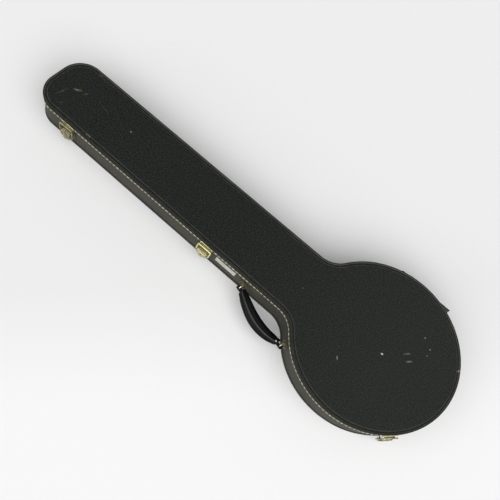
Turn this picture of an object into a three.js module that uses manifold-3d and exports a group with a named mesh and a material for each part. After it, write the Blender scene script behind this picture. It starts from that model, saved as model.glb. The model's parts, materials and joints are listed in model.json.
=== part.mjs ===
import * as THREE from 'three';
import { mergeVertices } from 'three/addons/utils/BufferGeometryUtils.js';
import Module from 'manifold-3d';

// Hard case for a banjo with a long straight neck, closed and lying on its bottom.
// Millimetres. Origin on the bottom face, below the middle of the round pot.
// +X runs from the head end past the pot, -Y is the front with the latches and the handle, +Z is up.

// Plan of the case, at the outermost line of the lid's rim
const potHalfLength = 190;
const potHalfWidth = 170;
const headReach = 862;
const headFrontReach = 867.5;
const neckHalfWidthAtPot = 71;
const neckHalfWidthAtHead = 64;
const filletRadius = 62;
const headCornerRadius = 56;
const headFrontCornerRadius = 43;

// Depths of the two shells; the parting plane is at the top of the body
const bodyHeight = 74;
const lidDepth = 26;

// Clearances
const seatGap = 0.3;
const tongueGap = 0.5;
const overrun = 1;

// Shell of the body and the lid
const panelThickness = 5;
const wallThickness = 4.2;
const rimOverhang = 1.8;
const bindingThickness = 1.2;
const bottomBindingHeight = 8;
const bottomBindingLift = 0.5;
const lidBindingLift = 0.9;
const lidBindingHeight = 12;

// Lid top, from the rolled rim over the groove to the flat field
const lidTopThickness = 4.2;
const rimBeadWidth = 3.4;
const grooveWidth = 4.8;
const grooveDepth = 1.9;
const fieldDrop = 0.5;
const fieldEdgeRadius = 0.9;

// Linings and the locating tongue
const floorLiningThickness = 4;
const wallLiningThickness = 3;
const lidPadThickness = 5;
const lidLiningThickness = 2.2;
const tongueThickness = 2;
const tongueRise = 5.5;
const tongueDepth = 6;

// Notched boards that carry the neck and bound the accessory well
const restBoardThickness = 14;
const wellBoardThickness = 9;
const boardDrop = 18.4;
const neckNotchHalfWidth = 24;
const neckNotchDepth = 17;
const neckNotchCornerRadius = 9;
const potRestLead = 72;
const wellLead = 218;
const wellLength = 148;

// Hinges behind the pot
const hingeHeadSideShare = 0.2;
const hingeTipSideShare = 0.35;
const hingeLength = 26;
const hingeAxisOffset = 1.4;
const knuckleRadius = 2.3;
const hingePinRadius = 1;
const hingePinHeadRadius = 1.7;
const hingePinHeadLength = 1.2;
const leafThickness = 1.4;
const leafHeight = 7.5;
const middleKnuckleLength = 10;
const hingeBlockHeight = 7.5;
const hingeBlockEndMargin = 2;

// Draw latches: distances out from the body wall, drops below and rises above the parting plane,
// and reaches down the lever from its pivot
const headLatchInset = 85;
const potLatchTurnShare = 0.25;
const neckLatchGap = 11;
const latchBaseHalfWidth = 19;
const latchBaseNeckHalfWidth = 13.5;
const latchBaseDrop = 4;
const latchBaseHeight = 45;
const latchPlateThickness = 1.2;
const latchPivotDrop = 20;
const latchPivotOut = 9.1;
const earThickness = 1.2;
const earRadius = 3.2;
const earInnerHalfWidth = 12.2;
const latchPinRadius = 1.2;
const latchPinHeadRadius = 2;
const latchPinHeadLength = 0.8;
const leverHalfWidth = 11.9;
const leverFlangeThickness = 1.2;
const leverRiseAbovePivot = 4;
const leverPanelThickness = 1.3;
const leverPanelOut = 10.9;
const leverPanelReach = 23;
const leverTabReach = 32;
const leverTabHalfWidth = 5.5;
const leverFlangeOut = 4.8;
const leverFlangeReach = 19;
const leverCornerRadius = 2.5;
const ribHeight = 1.8;
const ribOut = 0.9;
const ribPitch = 3.6;
const ribHalfWidth = 7.6;
const bossHalfWidth = 8.6;
const bossReach = 20;
const bossLength = 18;
const bossOut = 1.1;
const bossCornerRadius = 1.6;
const keyholeRadius = 1.5;
const keyholeSlotHalfWidth = 0.7;
const keyholeSlotDrop = 4.4;
const keyholeReach = 10.5;
const bailPivotReach = 14;
const bailPivotOut = 7.6;
const bailInnerHalfWidth = 14.9;
const bailBarWidth = 2.6;
const bailEyeRadius = 2.5;
const bailRise = 9;
const bailBevel = 0.4;
const bailStubRadius = 1.1;
const bailStubReach = 0.9;
const strikeHalfWidth = 17;
const strikeRise = 2.4;
const strikeHeight = 11.1;
const strikeCornerRadius = 2.4;
const hookHalfWidth = 11.5;
const hookRise = 3.6;
const hookHeight = 3;

// Carrying handle in the corner between the neck and the pot
const handleDrop = 30;
const handleNeckLead = 101;
const handlePotLead = 19;
const neckPivotOut = 8.4;
const potPivotOut = 8.4;
const bracketHalfWidth = 9.5;
const bracketHalfHeight = 15;
const bracketThickness = 1.5;
const bracketCornerRadius = 4;
const stapleRadius = 1.3;
const stapleHalfLength = 5.8;
const stapleBend = 2;
const ringRadius = 4.6;
const ringWireRadius = 1.2;
const tabReach = 8;
const tabEndReach = 6;
const tabInward = 3.8;
const tabOutward = 2.4;
const tabHalfHeight = 3;
const tabCornerRadius = 2;
const gripEndInset = 8;
const gripEndOut = 3.9;
const gripBow = 14.4;
const gripHalfWidth = 14;
const gripHalfHeight = 9.5;
const gripEndWidthShare = 0.55;
const gripSwellShare = 0.5;
const gripSkewShare = 0.87;
const gripRidgeShare = 0.12;
const gripRidgePower = 18;

// Bare plate on the front of the neck
const namePlateGap = 16.5;
const namePlateHalfLength = 26.5;
const namePlateDrop = 8;
const namePlateHeight = 25;
const namePlateThickness = 0.8;
const namePlateCornerRadius = 1.5;

// Steps round the curves
const potSteps = 26;
const filletSteps = 6;
const cornerSteps = 6;
const cornerArcSteps = 3;
const beadSteps = 5;
const roundSides = 14;
const ringSides = 20;
const ringTubeSides = 8;
const gripStations = 22;
const gripSides = 18;

// Places along the case, each from the ones before it
const potRestReach = potHalfLength + potRestLead;
const wellPotEndReach = potHalfLength + wellLead;
const wellHeadEndReach = wellPotEndReach + wellLength;
const handleNeckReach = potHalfLength + handleNeckLead;
const namePlateReach = handleNeckReach + bracketHalfWidth + namePlateGap + namePlateHalfLength;
const neckLatchReach = namePlateReach + namePlateHalfLength + neckLatchGap + latchBaseHalfWidth;
const headLatchReach = headReach - headLatchInset;
const hingeHeadSideX = -potHalfLength * hingeHeadSideShare;
const hingeTipSideX = potHalfLength * hingeTipSideShare;

// Heights above the floor, each from the parting plane or from the lever's pivot
const caseHeight = bodyHeight + lidDepth;
const latchBaseTop = bodyHeight - latchBaseDrop;
const latchBaseBottom = latchBaseTop - latchBaseHeight;
const latchPivotHeight = bodyHeight - latchPivotDrop;
const leverPanelBottom = latchPivotHeight - leverPanelReach;
const leverTabBottom = latchPivotHeight - leverTabReach;
const leverFlangeBottom = latchPivotHeight - leverFlangeReach;
const bossBottom = latchPivotHeight - bossReach;
const bossTop = bossBottom + bossLength;
const keyholeHeight = latchPivotHeight - keyholeReach;
const bailPivotHeight = latchPivotHeight - bailPivotReach;
const bailTop = bodyHeight + bailRise;
const strikeBottom = bodyHeight + strikeRise;
const strikeTop = strikeBottom + strikeHeight;
const hookBottom = bodyHeight + hookRise;
const handleHeight = bodyHeight - handleDrop;
const namePlateBottom = bodyHeight - namePlateDrop - namePlateHeight;

// Derived places, each the sum of named sizes
const wallFace = -rimOverhang;
const wallInner = wallFace - wallThickness;
const bindingInner = wallFace + seatGap;
const bindingOuter = bindingInner + bindingThickness;
const tongueOuter = wallInner - tongueGap;
const floorLiningTop = panelThickness + seatGap + floorLiningThickness;
const lidTopBottom = caseHeight - lidTopThickness;
const lidWallBottom = bodyHeight + seatGap;
const lidWallTop = lidTopBottom - seatGap;
const lidBindingBottom = lidWallBottom + lidBindingLift;
const lidBindingTop = lidBindingBottom + lidBindingHeight;

const wasm = await Module();
wasm.setup();

const finishes = {
  lidVinyl: { color: 0x262829, roughness: 0.55, metalness: 0 },
  bodyVinyl: { color: 0x4a4a46, roughness: 0.7, metalness: 0 },
  binding: { color: 0x4c4a3e, roughness: 0.7, metalness: 0 },
  plush: { color: 0x8a6a2c, roughness: 0.95, metalness: 0 },
  wood: { color: 0xa9865a, roughness: 0.7, metalness: 0 },
  brass: { color: 0xc9b25a, roughness: 0.35, metalness: 1 },
  agedBrass: { color: 0x8c8152, roughness: 0.5, metalness: 1 },
  blackMetal: { color: 0x1b1b1a, roughness: 0.5, metalness: 0.6 },
  nickel: { color: 0xcfcab8, roughness: 0.3, metalness: 1 },
  leather: { color: 0x141414, roughness: 0.4, metalness: 0 },
  platePaint: { color: 0xcfd0c4, roughness: 0.4, metalness: 0.3 },
};

const banjoCase = new THREE.Group();

function addMesh(parent, name, geometry, finish) {
  const mesh = new THREE.Mesh(geometry, new THREE.MeshStandardMaterial(finishes[finish]));
  mesh.name = name;
  parent.add(mesh);
  return mesh;
}

// Plan outline of the case

function potPoint(angle) {
  return new THREE.Vector2(potHalfLength * Math.cos(angle), potHalfWidth * Math.sin(angle));
}

function potNormal(angle) {
  return new THREE.Vector2(Math.cos(angle) / potHalfLength, Math.sin(angle) / potHalfWidth).normalize();
}

const neckHeadPoint = new THREE.Vector2(-headReach, neckHalfWidthAtHead);
const neckPotPoint = new THREE.Vector2(-potHalfLength, neckHalfWidthAtPot);
const neckAlong = neckPotPoint.clone().sub(neckHeadPoint).normalize();
const neckOut = new THREE.Vector2(-neckAlong.y, neckAlong.x);

// The fillet's centre lies one fillet radius off the pot's ellipse and one off the neck's side.
function findFilletAngle() {
  let low = Math.PI / 2;
  let high = Math.PI;
  for (let step = 0; step < 60; step += 1) {
    const middle = (low + high) / 2;
    const centre = potPoint(middle).addScaledVector(potNormal(middle), filletRadius);
    const offNeck = centre.sub(neckHeadPoint).dot(neckOut);
    if (offNeck > filletRadius) {
      low = middle;
    } else {
      high = middle;
    }
  }
  return (low + high) / 2;
}

function arcPoints(centre, radius, from, to, steps, side) {
  const points = [];
  for (let step = 0; step <= steps; step += 1) {
    const angle = from + ((to - from) * step) / steps;
    const spoke = new THREE.Vector2(Math.cos(angle), Math.sin(angle));
    points.push({ at: centre.clone().addScaledVector(spoke, radius), out: spoke.multiplyScalar(side) });
  }
  return points;
}

// Centre of a head corner, drawn on the back side
function headCorner(reach, radius) {
  const line = neckHeadPoint.clone().addScaledVector(neckOut, -radius);
  return line.addScaledVector(neckAlong, (-reach + radius - line.x) / neckAlong.x);
}

// The head's end is a straight line that touches both corners; this is the way that it faces
function headEndAngle() {
  const back = headCorner(headReach, headCornerRadius);
  const front = headCorner(headFrontReach, headFrontCornerRadius);
  const step = new THREE.Vector2(front.x - back.x, -front.y - back.y);
  const lean = Math.acos((headCornerRadius - headFrontCornerRadius) / step.length());
  return Math.atan2(step.y, step.x) - lean + 2 * Math.PI;
}

// Half of the outline, from the pot's tip to the head end, as points with outward normals
function halfOutline(reach, cornerRadius, endAngle) {
  const filletAngle = findFilletAngle();
  const filletNormal = potNormal(filletAngle);
  const filletCentre = potPoint(filletAngle).addScaledVector(filletNormal, filletRadius);
  const points = [];
  for (let step = 0; step < potSteps; step += 1) {
    const angle = (filletAngle * step) / potSteps;
    points.push({ at: potPoint(angle), out: potNormal(angle) });
  }
  const fromAngle = Math.atan2(-filletNormal.y, -filletNormal.x) + 2 * Math.PI;
  const toAngle = Math.atan2(-neckOut.y, -neckOut.x) + 2 * Math.PI;
  points.push(...arcPoints(filletCentre, filletRadius, fromAngle, toAngle, filletSteps, -1));
  const cornerStart = Math.atan2(neckOut.y, neckOut.x);
  const cornerCentre = headCorner(reach, cornerRadius);
  points.push(...arcPoints(cornerCentre, cornerRadius, cornerStart, endAngle, cornerSteps, 1));
  return points;
}

function mirrorPoint(point) {
  return {
    at: new THREE.Vector2(point.at.x, -point.at.y),
    out: new THREE.Vector2(point.out.x, -point.out.y),
  };
}

const headEnd = headEndAngle();
const backPoints = halfOutline(headReach, headCornerRadius, headEnd);
const frontPoints = halfOutline(headFrontReach, headFrontCornerRadius, 2 * Math.PI - headEnd);
const outline = [...backPoints, ...frontPoints.slice(1).reverse().map(mirrorPoint)];

function offsetLoop(grow) {
  return outline.map((point) => point.at.clone().addScaledVector(point.out, grow));
}

// Solids that follow the outline

function meshGeometry(vertices, triangles) {
  const geometry = new THREE.BufferGeometry();
  geometry.setAttribute('position', new THREE.Float32BufferAttribute(vertices, 3));
  geometry.setIndex(triangles);
  geometry.computeVertexNormals();
  return geometry;
}

function loopVertices(profile) {
  const vertices = [];
  profile.forEach(([grow, height]) => {
    offsetLoop(grow).forEach((point) => vertices.push(point.x, point.y, height));
  });
  return vertices;
}

function joinLoops(triangles, lower, upper) {
  const count = outline.length;
  for (let index = 0; index < count; index += 1) {
    const next = (index + 1) % count;
    const a = lower * count + index;
    const b = lower * count + next;
    const c = upper * count + index;
    const d = upper * count + next;
    triangles.push(a, b, c, b, d, c);
  }
}

// A closed profile of [outward offset, height] points carried once round the case
function band(profile) {
  const triangles = [];
  profile.forEach((_, index) => joinLoops(triangles, index, (index + 1) % profile.length));
  return meshGeometry(loopVertices(profile), triangles);
}

function boxBand(inner, outer, bottom, top) {
  return band([[inner, bottom], [outer, bottom], [outer, top], [inner, top]]);
}

// An edge profile from the bottom up, closed by a flat face below and above
function plate(profile) {
  const triangles = [];
  const last = profile.length - 1;
  for (let index = 0; index < last; index += 1) {
    joinLoops(triangles, index, index + 1);
  }
  const count = outline.length;
  THREE.ShapeUtils.triangulateShape(offsetLoop(profile[0][0]), []).forEach(([a, b, c]) => {
    triangles.push(c, b, a);
  });
  THREE.ShapeUtils.triangulateShape(offsetLoop(profile[last][0]), []).forEach(([a, b, c]) => {
    triangles.push(last * count + a, last * count + b, last * count + c);
  });
  return meshGeometry(loopVertices(profile), triangles);
}

// Booleans

function toSolid(geometry) {
  const bare = geometry.clone();
  bare.deleteAttribute('normal');
  bare.deleteAttribute('uv');
  const merged = mergeVertices(bare);
  return new wasm.Manifold(new wasm.Mesh({
    numProp: 3,
    vertProperties: new Float32Array(merged.attributes.position.array),
    triVerts: new Uint32Array(merged.index.array),
  }));
}

function toGeometry(solid) {
  const mesh = solid.getMesh();
  return meshGeometry(Array.from(mesh.vertProperties), Array.from(mesh.triVerts));
}

function join(geometries) {
  return geometries.map(toSolid).reduce((whole, piece) => whole.add(piece));
}

// Simple shapes in a piece's own axes

function block(xLow, xHigh, yLow, yHigh, zLow, zHigh) {
  const geometry = new THREE.BoxGeometry(xHigh - xLow, yHigh - yLow, zHigh - zLow);
  return geometry.translate((xLow + xHigh) / 2, (yLow + yHigh) / 2, (zLow + zHigh) / 2);
}

function rodAlongX(radius, xLow, xHigh, y, z) {
  const geometry = new THREE.CylinderGeometry(radius, radius, xHigh - xLow, roundSides);
  return geometry.rotateZ(Math.PI / 2).translate((xLow + xHigh) / 2, y, z);
}

// Rings of points in travel order, each turning the same way round the line of travel
function loft(rings) {
  const sides = rings[0].length;
  const last = (rings.length - 1) * sides;
  const vertices = [];
  const triangles = [];
  rings.forEach((ring) => ring.forEach((point) => vertices.push(point.x, point.y, point.z)));
  for (let start = 0; start < last; start += sides) {
    for (let side = 0; side < sides; side += 1) {
      const a = start + side;
      const b = start + ((side + 1) % sides);
      triangles.push(a, b, a + sides, b, b + sides, a + sides);
    }
  }
  for (let side = 1; side < sides - 1; side += 1) {
    triangles.push(0, side + 1, side);
    triangles.push(last, last + side, last + side + 1);
  }
  return meshGeometry(vertices, triangles);
}

// A round wire through level corners, with each inner corner bent
function bentWire(radius, corners, bend) {
  const up = new THREE.Vector3(0, 0, 1);
  const path = [corners[0]];
  for (let index = 1; index < corners.length - 1; index += 1) {
    const [before, corner, after] = corners.slice(index - 1, index + 2);
    const start = corner.clone().add(before.clone().sub(corner).setLength(bend));
    const end = corner.clone().add(after.clone().sub(corner).setLength(bend));
    path.push(...new THREE.QuadraticBezierCurve3(start, corner, end).getPoints(cornerArcSteps));
  }
  path.push(corners[corners.length - 1]);
  const steps = path.slice(1).map((point, index) => point.clone().sub(path[index]).normalize());
  return loft(path.map((point, index) => {
    const arriving = steps[Math.max(index - 1, 0)];
    const leaving = steps[Math.min(index, steps.length - 1)];
    const side = up.clone().cross(arriving.clone().add(leaving)).normalize();
    return Array.from({ length: roundSides }, (_, spoke) => {
      const angle = (2 * Math.PI * spoke) / roundSides;
      return point.clone()
        .addScaledVector(side, radius * Math.cos(angle))
        .addScaledVector(up, radius * Math.sin(angle));
    });
  }));
}

function roundedShape(xLow, xHigh, yLow, yHigh, radius) {
  const shape = new THREE.Shape();
  shape.moveTo(xLow + radius, yLow);
  shape.lineTo(xHigh - radius, yLow);
  shape.absarc(xHigh - radius, yLow + radius, radius, -Math.PI / 2, 0, false);
  shape.lineTo(xHigh, yHigh - radius);
  shape.absarc(xHigh - radius, yHigh - radius, radius, 0, Math.PI / 2, false);
  shape.lineTo(xLow + radius, yHigh);
  shape.absarc(xLow + radius, yHigh - radius, radius, Math.PI / 2, Math.PI, false);
  shape.lineTo(xLow, yLow + radius);
  shape.absarc(xLow + radius, yLow + radius, radius, Math.PI, (3 * Math.PI) / 2, false);
  return shape;
}

// A shape drawn in X and Z, made solid from yLow to yHigh
function upright(shape, yLow, yHigh, bevel = 0) {
  const geometry = new THREE.ExtrudeGeometry(shape, {
    depth: yHigh - yLow - 2 * bevel,
    curveSegments: cornerArcSteps,
    bevelEnabled: bevel > 0,
    bevelThickness: bevel,
    bevelSize: bevel,
    bevelOffset: -bevel,
    bevelSegments: 1,
  });
  return geometry.rotateX(Math.PI / 2).translate(0, yHigh - bevel, 0);
}

// A group on the front wall: its X runs along the wall, its Y points out, y = 0 on the wall's face
function wallGroup(at, out) {
  const group = new THREE.Group();
  group.position.set(at.x + out.x * wallFace, at.y + out.y * wallFace, 0);
  group.rotation.z = Math.atan2(out.y, out.x) - Math.PI / 2;
  banjoCase.add(group);
  return group;
}

function neckFrontSpot(reach) {
  const travel = (-reach - neckHeadPoint.x) / neckAlong.x;
  return mirrorPoint({ at: neckHeadPoint.clone().addScaledVector(neckAlong, travel), out: neckOut });
}

function potFrontSpot(angle) {
  return mirrorPoint({ at: potPoint(angle), out: potNormal(angle) });
}

// The angle on the pot that lies a given way before its fillet
function angleBeforeFillet(lead) {
  const angle = findFilletAngle();
  const pace = Math.hypot(potHalfLength * Math.sin(angle), potHalfWidth * Math.cos(angle));
  return angle - lead / pace;
}

// Body shell

addMesh(banjoCase, 'body_floor_panel', plate([[wallFace, 0], [wallFace, panelThickness]]), 'bodyVinyl');

const bodyWallBottom = panelThickness + seatGap;
addMesh(banjoCase, 'body_wall_band', boxBand(wallInner, wallFace, bodyWallBottom, bodyHeight), 'bodyVinyl');

addMesh(
  banjoCase,
  'body_bottom_binding',
  boxBand(bindingInner, bindingOuter, bottomBindingLift, bottomBindingHeight),
  'binding',
);

const tongueInner = tongueOuter - tongueThickness;
const tongueBottom = bodyHeight - tongueDepth;
const tongueTop = bodyHeight + tongueRise;
addMesh(
  banjoCase,
  'body_tongue',
  band([
    [tongueInner, tongueBottom],
    [tongueOuter, tongueBottom],
    [tongueOuter, tongueTop - tongueThickness / 2],
    [tongueOuter - tongueThickness / 2, tongueTop],
    [tongueInner, tongueTop],
  ]),
  'wood',
);

// Linings of the body

const liningOuter = wallInner - seatGap;
addMesh(
  banjoCase,
  'body_floor_lining',
  plate([
    [liningOuter, panelThickness + seatGap],
    [liningOuter, floorLiningTop],
  ]),
  'plush',
);

const wallLiningBottom = floorLiningTop + seatGap;
const wallLiningTop = tongueBottom - seatGap;
const liningInner = liningOuter - wallLiningThickness;
addMesh(
  banjoCase,
  'body_wall_lining',
  boxBand(liningInner, liningOuter, wallLiningBottom, wallLiningTop),
  'plush',
);

// Boards across the neck's channel, notched for the neck

function neckHalfWidthInside(reach) {
  return neckFrontSpot(reach).at.y * -1 + liningInner - seatGap;
}

function notchedBoard(reach, thickness) {
  const half = neckHalfWidthInside(reach + thickness / 2);
  const top = bodyHeight - boardDrop;
  const notchBottom = top - neckNotchDepth;
  const shape = new THREE.Shape();
  shape.moveTo(-half, wallLiningBottom);
  shape.lineTo(half, wallLiningBottom);
  shape.lineTo(half, top);
  shape.lineTo(neckNotchHalfWidth, top);
  shape.lineTo(neckNotchHalfWidth, notchBottom + neckNotchCornerRadius);
  shape.absarc(
    neckNotchHalfWidth - neckNotchCornerRadius,
    notchBottom + neckNotchCornerRadius,
    neckNotchCornerRadius,
    0,
    -Math.PI / 2,
    true,
  );
  shape.lineTo(-neckNotchHalfWidth + neckNotchCornerRadius, notchBottom);
  shape.absarc(
    -neckNotchHalfWidth + neckNotchCornerRadius,
    notchBottom + neckNotchCornerRadius,
    neckNotchCornerRadius,
    -Math.PI / 2,
    -Math.PI,
    true,
  );
  shape.lineTo(-neckNotchHalfWidth, top);
  shape.lineTo(-half, top);
  shape.closePath();
  return upright(shape, -thickness / 2, thickness / 2).rotateZ(Math.PI / 2).translate(-reach, 0, 0);
}

addMesh(banjoCase, 'neck_rest', notchedBoard(potRestReach, restBoardThickness), 'plush');
addMesh(banjoCase, 'well_wall_pot_end', notchedBoard(wellPotEndReach, wellBoardThickness), 'plush');
addMesh(banjoCase, 'well_wall_head_end', notchedBoard(wellHeadEndReach, wellBoardThickness), 'plush');

// Lid shell

function edgeArc(grow, height, radiusOut, radiusUp, from, to) {
  const points = [];
  for (let step = 0; step <= beadSteps; step += 1) {
    const angle = from + ((to - from) * step) / beadSteps;
    points.push([grow + radiusOut * Math.cos(angle), height + radiusUp * Math.sin(angle)]);
  }
  return points;
}

const beadRadius = rimBeadWidth / 2;
const beadHeight = lidTopThickness / 2;
const fieldInset = -rimBeadWidth - grooveWidth;
const fieldTop = caseHeight - fieldDrop;
const lidTopProfile = [
  [wallFace, lidTopBottom],
  ...edgeArc(-beadRadius, lidTopBottom + beadHeight, beadRadius, beadHeight, -Math.PI / 4, Math.PI),
  [-rimBeadWidth, caseHeight - grooveDepth],
  [fieldInset, caseHeight - grooveDepth],
  [fieldInset, fieldTop - fieldEdgeRadius],
  [fieldInset - fieldEdgeRadius, fieldTop],
];
addMesh(banjoCase, 'lid_top_panel', plate(lidTopProfile), 'lidVinyl');
addMesh(banjoCase, 'lid_wall_band', boxBand(wallInner, wallFace, lidWallBottom, lidWallTop), 'lidVinyl');
addMesh(
  banjoCase,
  'lid_stitched_binding',
  boxBand(bindingInner, bindingOuter, lidBindingBottom, lidBindingTop),
  'binding',
);

const lidPadTop = lidTopBottom - seatGap;
const lidPadBottom = lidPadTop - lidPadThickness;
addMesh(
  banjoCase,
  'lid_pad',
  plate([[liningOuter, lidPadBottom], [liningOuter, lidPadTop]]),
  'plush',
);
addMesh(
  banjoCase,
  'lid_wall_lining',
  boxBand(
    liningOuter - lidLiningThickness,
    liningOuter,
    tongueTop + tongueGap,
    lidPadBottom - seatGap,
  ),
  'plush',
);

// Hinges: a wedge block carries each leaf off the curved wall, so that both pins share one axis

const hingeAxisY = potHalfWidth + hingeAxisOffset;
const leafFrontY = hingeAxisY - knuckleRadius;
const leafBackY = leafFrontY + leafThickness;

// Plan of a wedge block: straight behind, and following the curved wall in front
function hingeBlockShape(centreX, grow) {
  const low = centreX - hingeLength / 2 + hingeBlockEndMargin;
  const high = centreX + hingeLength / 2 - hingeBlockEndMargin;
  const back = leafFrontY - seatGap;
  const points = [new THREE.Vector2(high, back), new THREE.Vector2(low, back)];
  for (let step = 0; step <= cornerSteps; step += 1) {
    const x = low + ((high - low) * step) / cornerSteps;
    const angle = Math.acos(x / potHalfLength);
    points.push(potPoint(angle).addScaledVector(potNormal(angle), grow));
  }
  return new THREE.Shape(points);
}

function hingeBlock(centreX, grow, bottom) {
  const shape = hingeBlockShape(centreX, grow);
  return new THREE.ExtrudeGeometry(shape, { depth: hingeBlockHeight, bevelEnabled: false })
    .translate(0, 0, bottom);
}

// A leaf reaches up or down from the axis; its knuckles fill the stated stretches of the pin
function hingeLeaf(centreX, direction, stretches) {
  const clearRadius = knuckleRadius + seatGap;
  const near = bodyHeight + direction * clearRadius;
  const far = bodyHeight + direction * (clearRadius + leafHeight);
  const start = centreX - hingeLength / 2;
  const end = centreX + hingeLength / 2;
  const pieces = [
    block(start, end, leafFrontY, leafBackY, Math.min(near, far), Math.max(near, far)),
  ];
  stretches.forEach(([low, high]) => {
    const reach = near + direction * overrun;
    pieces.push(rodAlongX(knuckleRadius, centreX + low, centreX + high, hingeAxisY, bodyHeight));
    pieces.push(block(
      centreX + low,
      centreX + high,
      leafFrontY,
      leafBackY,
      Math.min(bodyHeight, reach),
      Math.max(bodyHeight, reach),
    ));
  });
  const bore = rodAlongX(
    hingePinRadius + seatGap,
    start - overrun,
    end + overrun,
    hingeAxisY,
    bodyHeight,
  );
  return toGeometry(join(pieces).subtract(toSolid(bore)));
}

function hingePin(centreX) {
  const half = hingeLength / 2 + seatGap;
  const shaft = rodAlongX(hingePinRadius, centreX - half, centreX + half, hingeAxisY, bodyHeight);
  const heads = [-1, 1].map((side) => rodAlongX(
    hingePinHeadRadius,
    centreX + side * half - (side < 0 ? hingePinHeadLength : 0),
    centreX + side * half + (side > 0 ? hingePinHeadLength : 0),
    hingeAxisY,
    bodyHeight,
  ));
  return toGeometry(join([shaft, ...heads]));
}

const leafStretchHalf = middleKnuckleLength / 2;
const bodyStretches = [
  [-hingeLength / 2, -leafStretchHalf],
  [leafStretchHalf, hingeLength / 2],
];
const lidStretches = [[-leafStretchHalf + seatGap, leafStretchHalf - seatGap]];

[['head_side', hingeHeadSideX], ['tip_side', hingeTipSideX]].forEach(([side, centreX]) => {
  const blockDrop = knuckleRadius + seatGap;
  const bodyBlockBottom = bodyHeight - blockDrop - hingeBlockHeight;
  addMesh(
    banjoCase,
    `hinge_${side}_body_block`,
    hingeBlock(centreX, wallFace + seatGap, bodyBlockBottom),
    'blackMetal',
  );
  addMesh(
    banjoCase,
    `hinge_${side}_lid_block`,
    hingeBlock(centreX, bindingOuter + seatGap, bodyHeight + blockDrop),
    'blackMetal',
  );
  addMesh(banjoCase, `hinge_${side}_body_leaf`, hingeLeaf(centreX, -1, bodyStretches), 'blackMetal');
  addMesh(banjoCase, `hinge_${side}_lid_leaf`, hingeLeaf(centreX, 1, lidStretches), 'blackMetal');
  addMesh(banjoCase, `hinge_${side}_pin`, hingePin(centreX), 'nickel');
});

// Draw latches, drawn in a wall group: X along the wall, Y out, Z up

function latchBase() {
  const middle = (latchBaseBottom + latchBaseTop) / 2;
  const shape = new THREE.Shape();
  shape.moveTo(-latchBaseNeckHalfWidth, latchBaseBottom);
  shape.lineTo(latchBaseNeckHalfWidth, latchBaseBottom);
  shape.quadraticCurveTo(latchBaseHalfWidth, latchBaseBottom, latchBaseHalfWidth, middle);
  shape.quadraticCurveTo(latchBaseHalfWidth, latchBaseTop, latchBaseNeckHalfWidth, latchBaseTop);
  shape.lineTo(-latchBaseNeckHalfWidth, latchBaseTop);
  shape.quadraticCurveTo(-latchBaseHalfWidth, latchBaseTop, -latchBaseHalfWidth, middle);
  shape.quadraticCurveTo(
    -latchBaseHalfWidth,
    latchBaseBottom,
    -latchBaseNeckHalfWidth,
    latchBaseBottom,
  );
  const back = seatGap;
  const front = seatGap + latchPlateThickness;
  const pieces = [upright(shape, back, front)];
  [-1, 1].forEach((side) => {
    const inner = side * earInnerHalfWidth;
    const outer = side * (earInnerHalfWidth + earThickness);
    const low = Math.min(inner, outer);
    const high = Math.max(inner, outer);
    pieces.push(rodAlongX(earRadius, low, high, latchPivotOut, latchPivotHeight));
    pieces.push(block(
      low,
      high,
      back + latchPlateThickness / 2,
      latchPivotOut,
      latchPivotHeight - earRadius,
      latchPivotHeight + earRadius,
    ));
  });
  const reach = earInnerHalfWidth + earThickness + overrun;
  const bore = rodAlongX(latchPinRadius + seatGap, -reach, reach, latchPivotOut, latchPivotHeight);
  return toGeometry(join(pieces).subtract(toSolid(bore)));
}

function latchPin() {
  const half = earInnerHalfWidth + earThickness + seatGap;
  const pieces = [rodAlongX(latchPinRadius, -half, half, latchPivotOut, latchPivotHeight)];
  [-1, 1].forEach((side) => {
    const inner = side * half;
    const outer = side * (half + latchPinHeadLength);
    pieces.push(rodAlongX(
      latchPinHeadRadius,
      Math.min(inner, outer),
      Math.max(inner, outer),
      latchPivotOut,
      latchPivotHeight,
    ));
  });
  return toGeometry(join(pieces));
}

function leverPanelShape() {
  const top = latchPivotHeight + leverRiseAbovePivot;
  const tabCentre = leverTabBottom + leverTabHalfWidth;
  const shape = new THREE.Shape();
  shape.moveTo(-leverTabHalfWidth, leverPanelBottom);
  shape.lineTo(-leverTabHalfWidth, tabCentre);
  shape.absarc(0, tabCentre, leverTabHalfWidth, Math.PI, 2 * Math.PI, false);
  shape.lineTo(leverTabHalfWidth, leverPanelBottom);
  shape.lineTo(leverHalfWidth - leverCornerRadius, leverPanelBottom);
  shape.absarc(
    leverHalfWidth - leverCornerRadius,
    leverPanelBottom + leverCornerRadius,
    leverCornerRadius,
    -Math.PI / 2,
    0,
    false,
  );
  shape.lineTo(leverHalfWidth, top);
  shape.lineTo(-leverHalfWidth, top);
  shape.lineTo(-leverHalfWidth, leverPanelBottom + leverCornerRadius);
  shape.absarc(
    -leverHalfWidth + leverCornerRadius,
    leverPanelBottom + leverCornerRadius,
    leverCornerRadius,
    Math.PI,
    (3 * Math.PI) / 2,
    false,
  );
  return shape;
}

function leverRibs() {
  const count = Math.floor((bossTop - bossBottom) / ribPitch);
  const ribs = [];
  for (let index = 0; index < count; index += 1) {
    const low = bossBottom + ribPitch * (index + 1 / 4);
    ribs.push(block(
      -ribHalfWidth,
      ribHalfWidth,
      leverPanelOut,
      leverPanelOut + leverPanelThickness + ribOut,
      low,
      low + ribHeight,
    ));
  }
  return ribs;
}

function lockBoss() {
  const shape = roundedShape(-bossHalfWidth, bossHalfWidth, bossBottom, bossTop, bossCornerRadius);
  return upright(shape, leverPanelOut, leverPanelOut + leverPanelThickness + bossOut);
}

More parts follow.
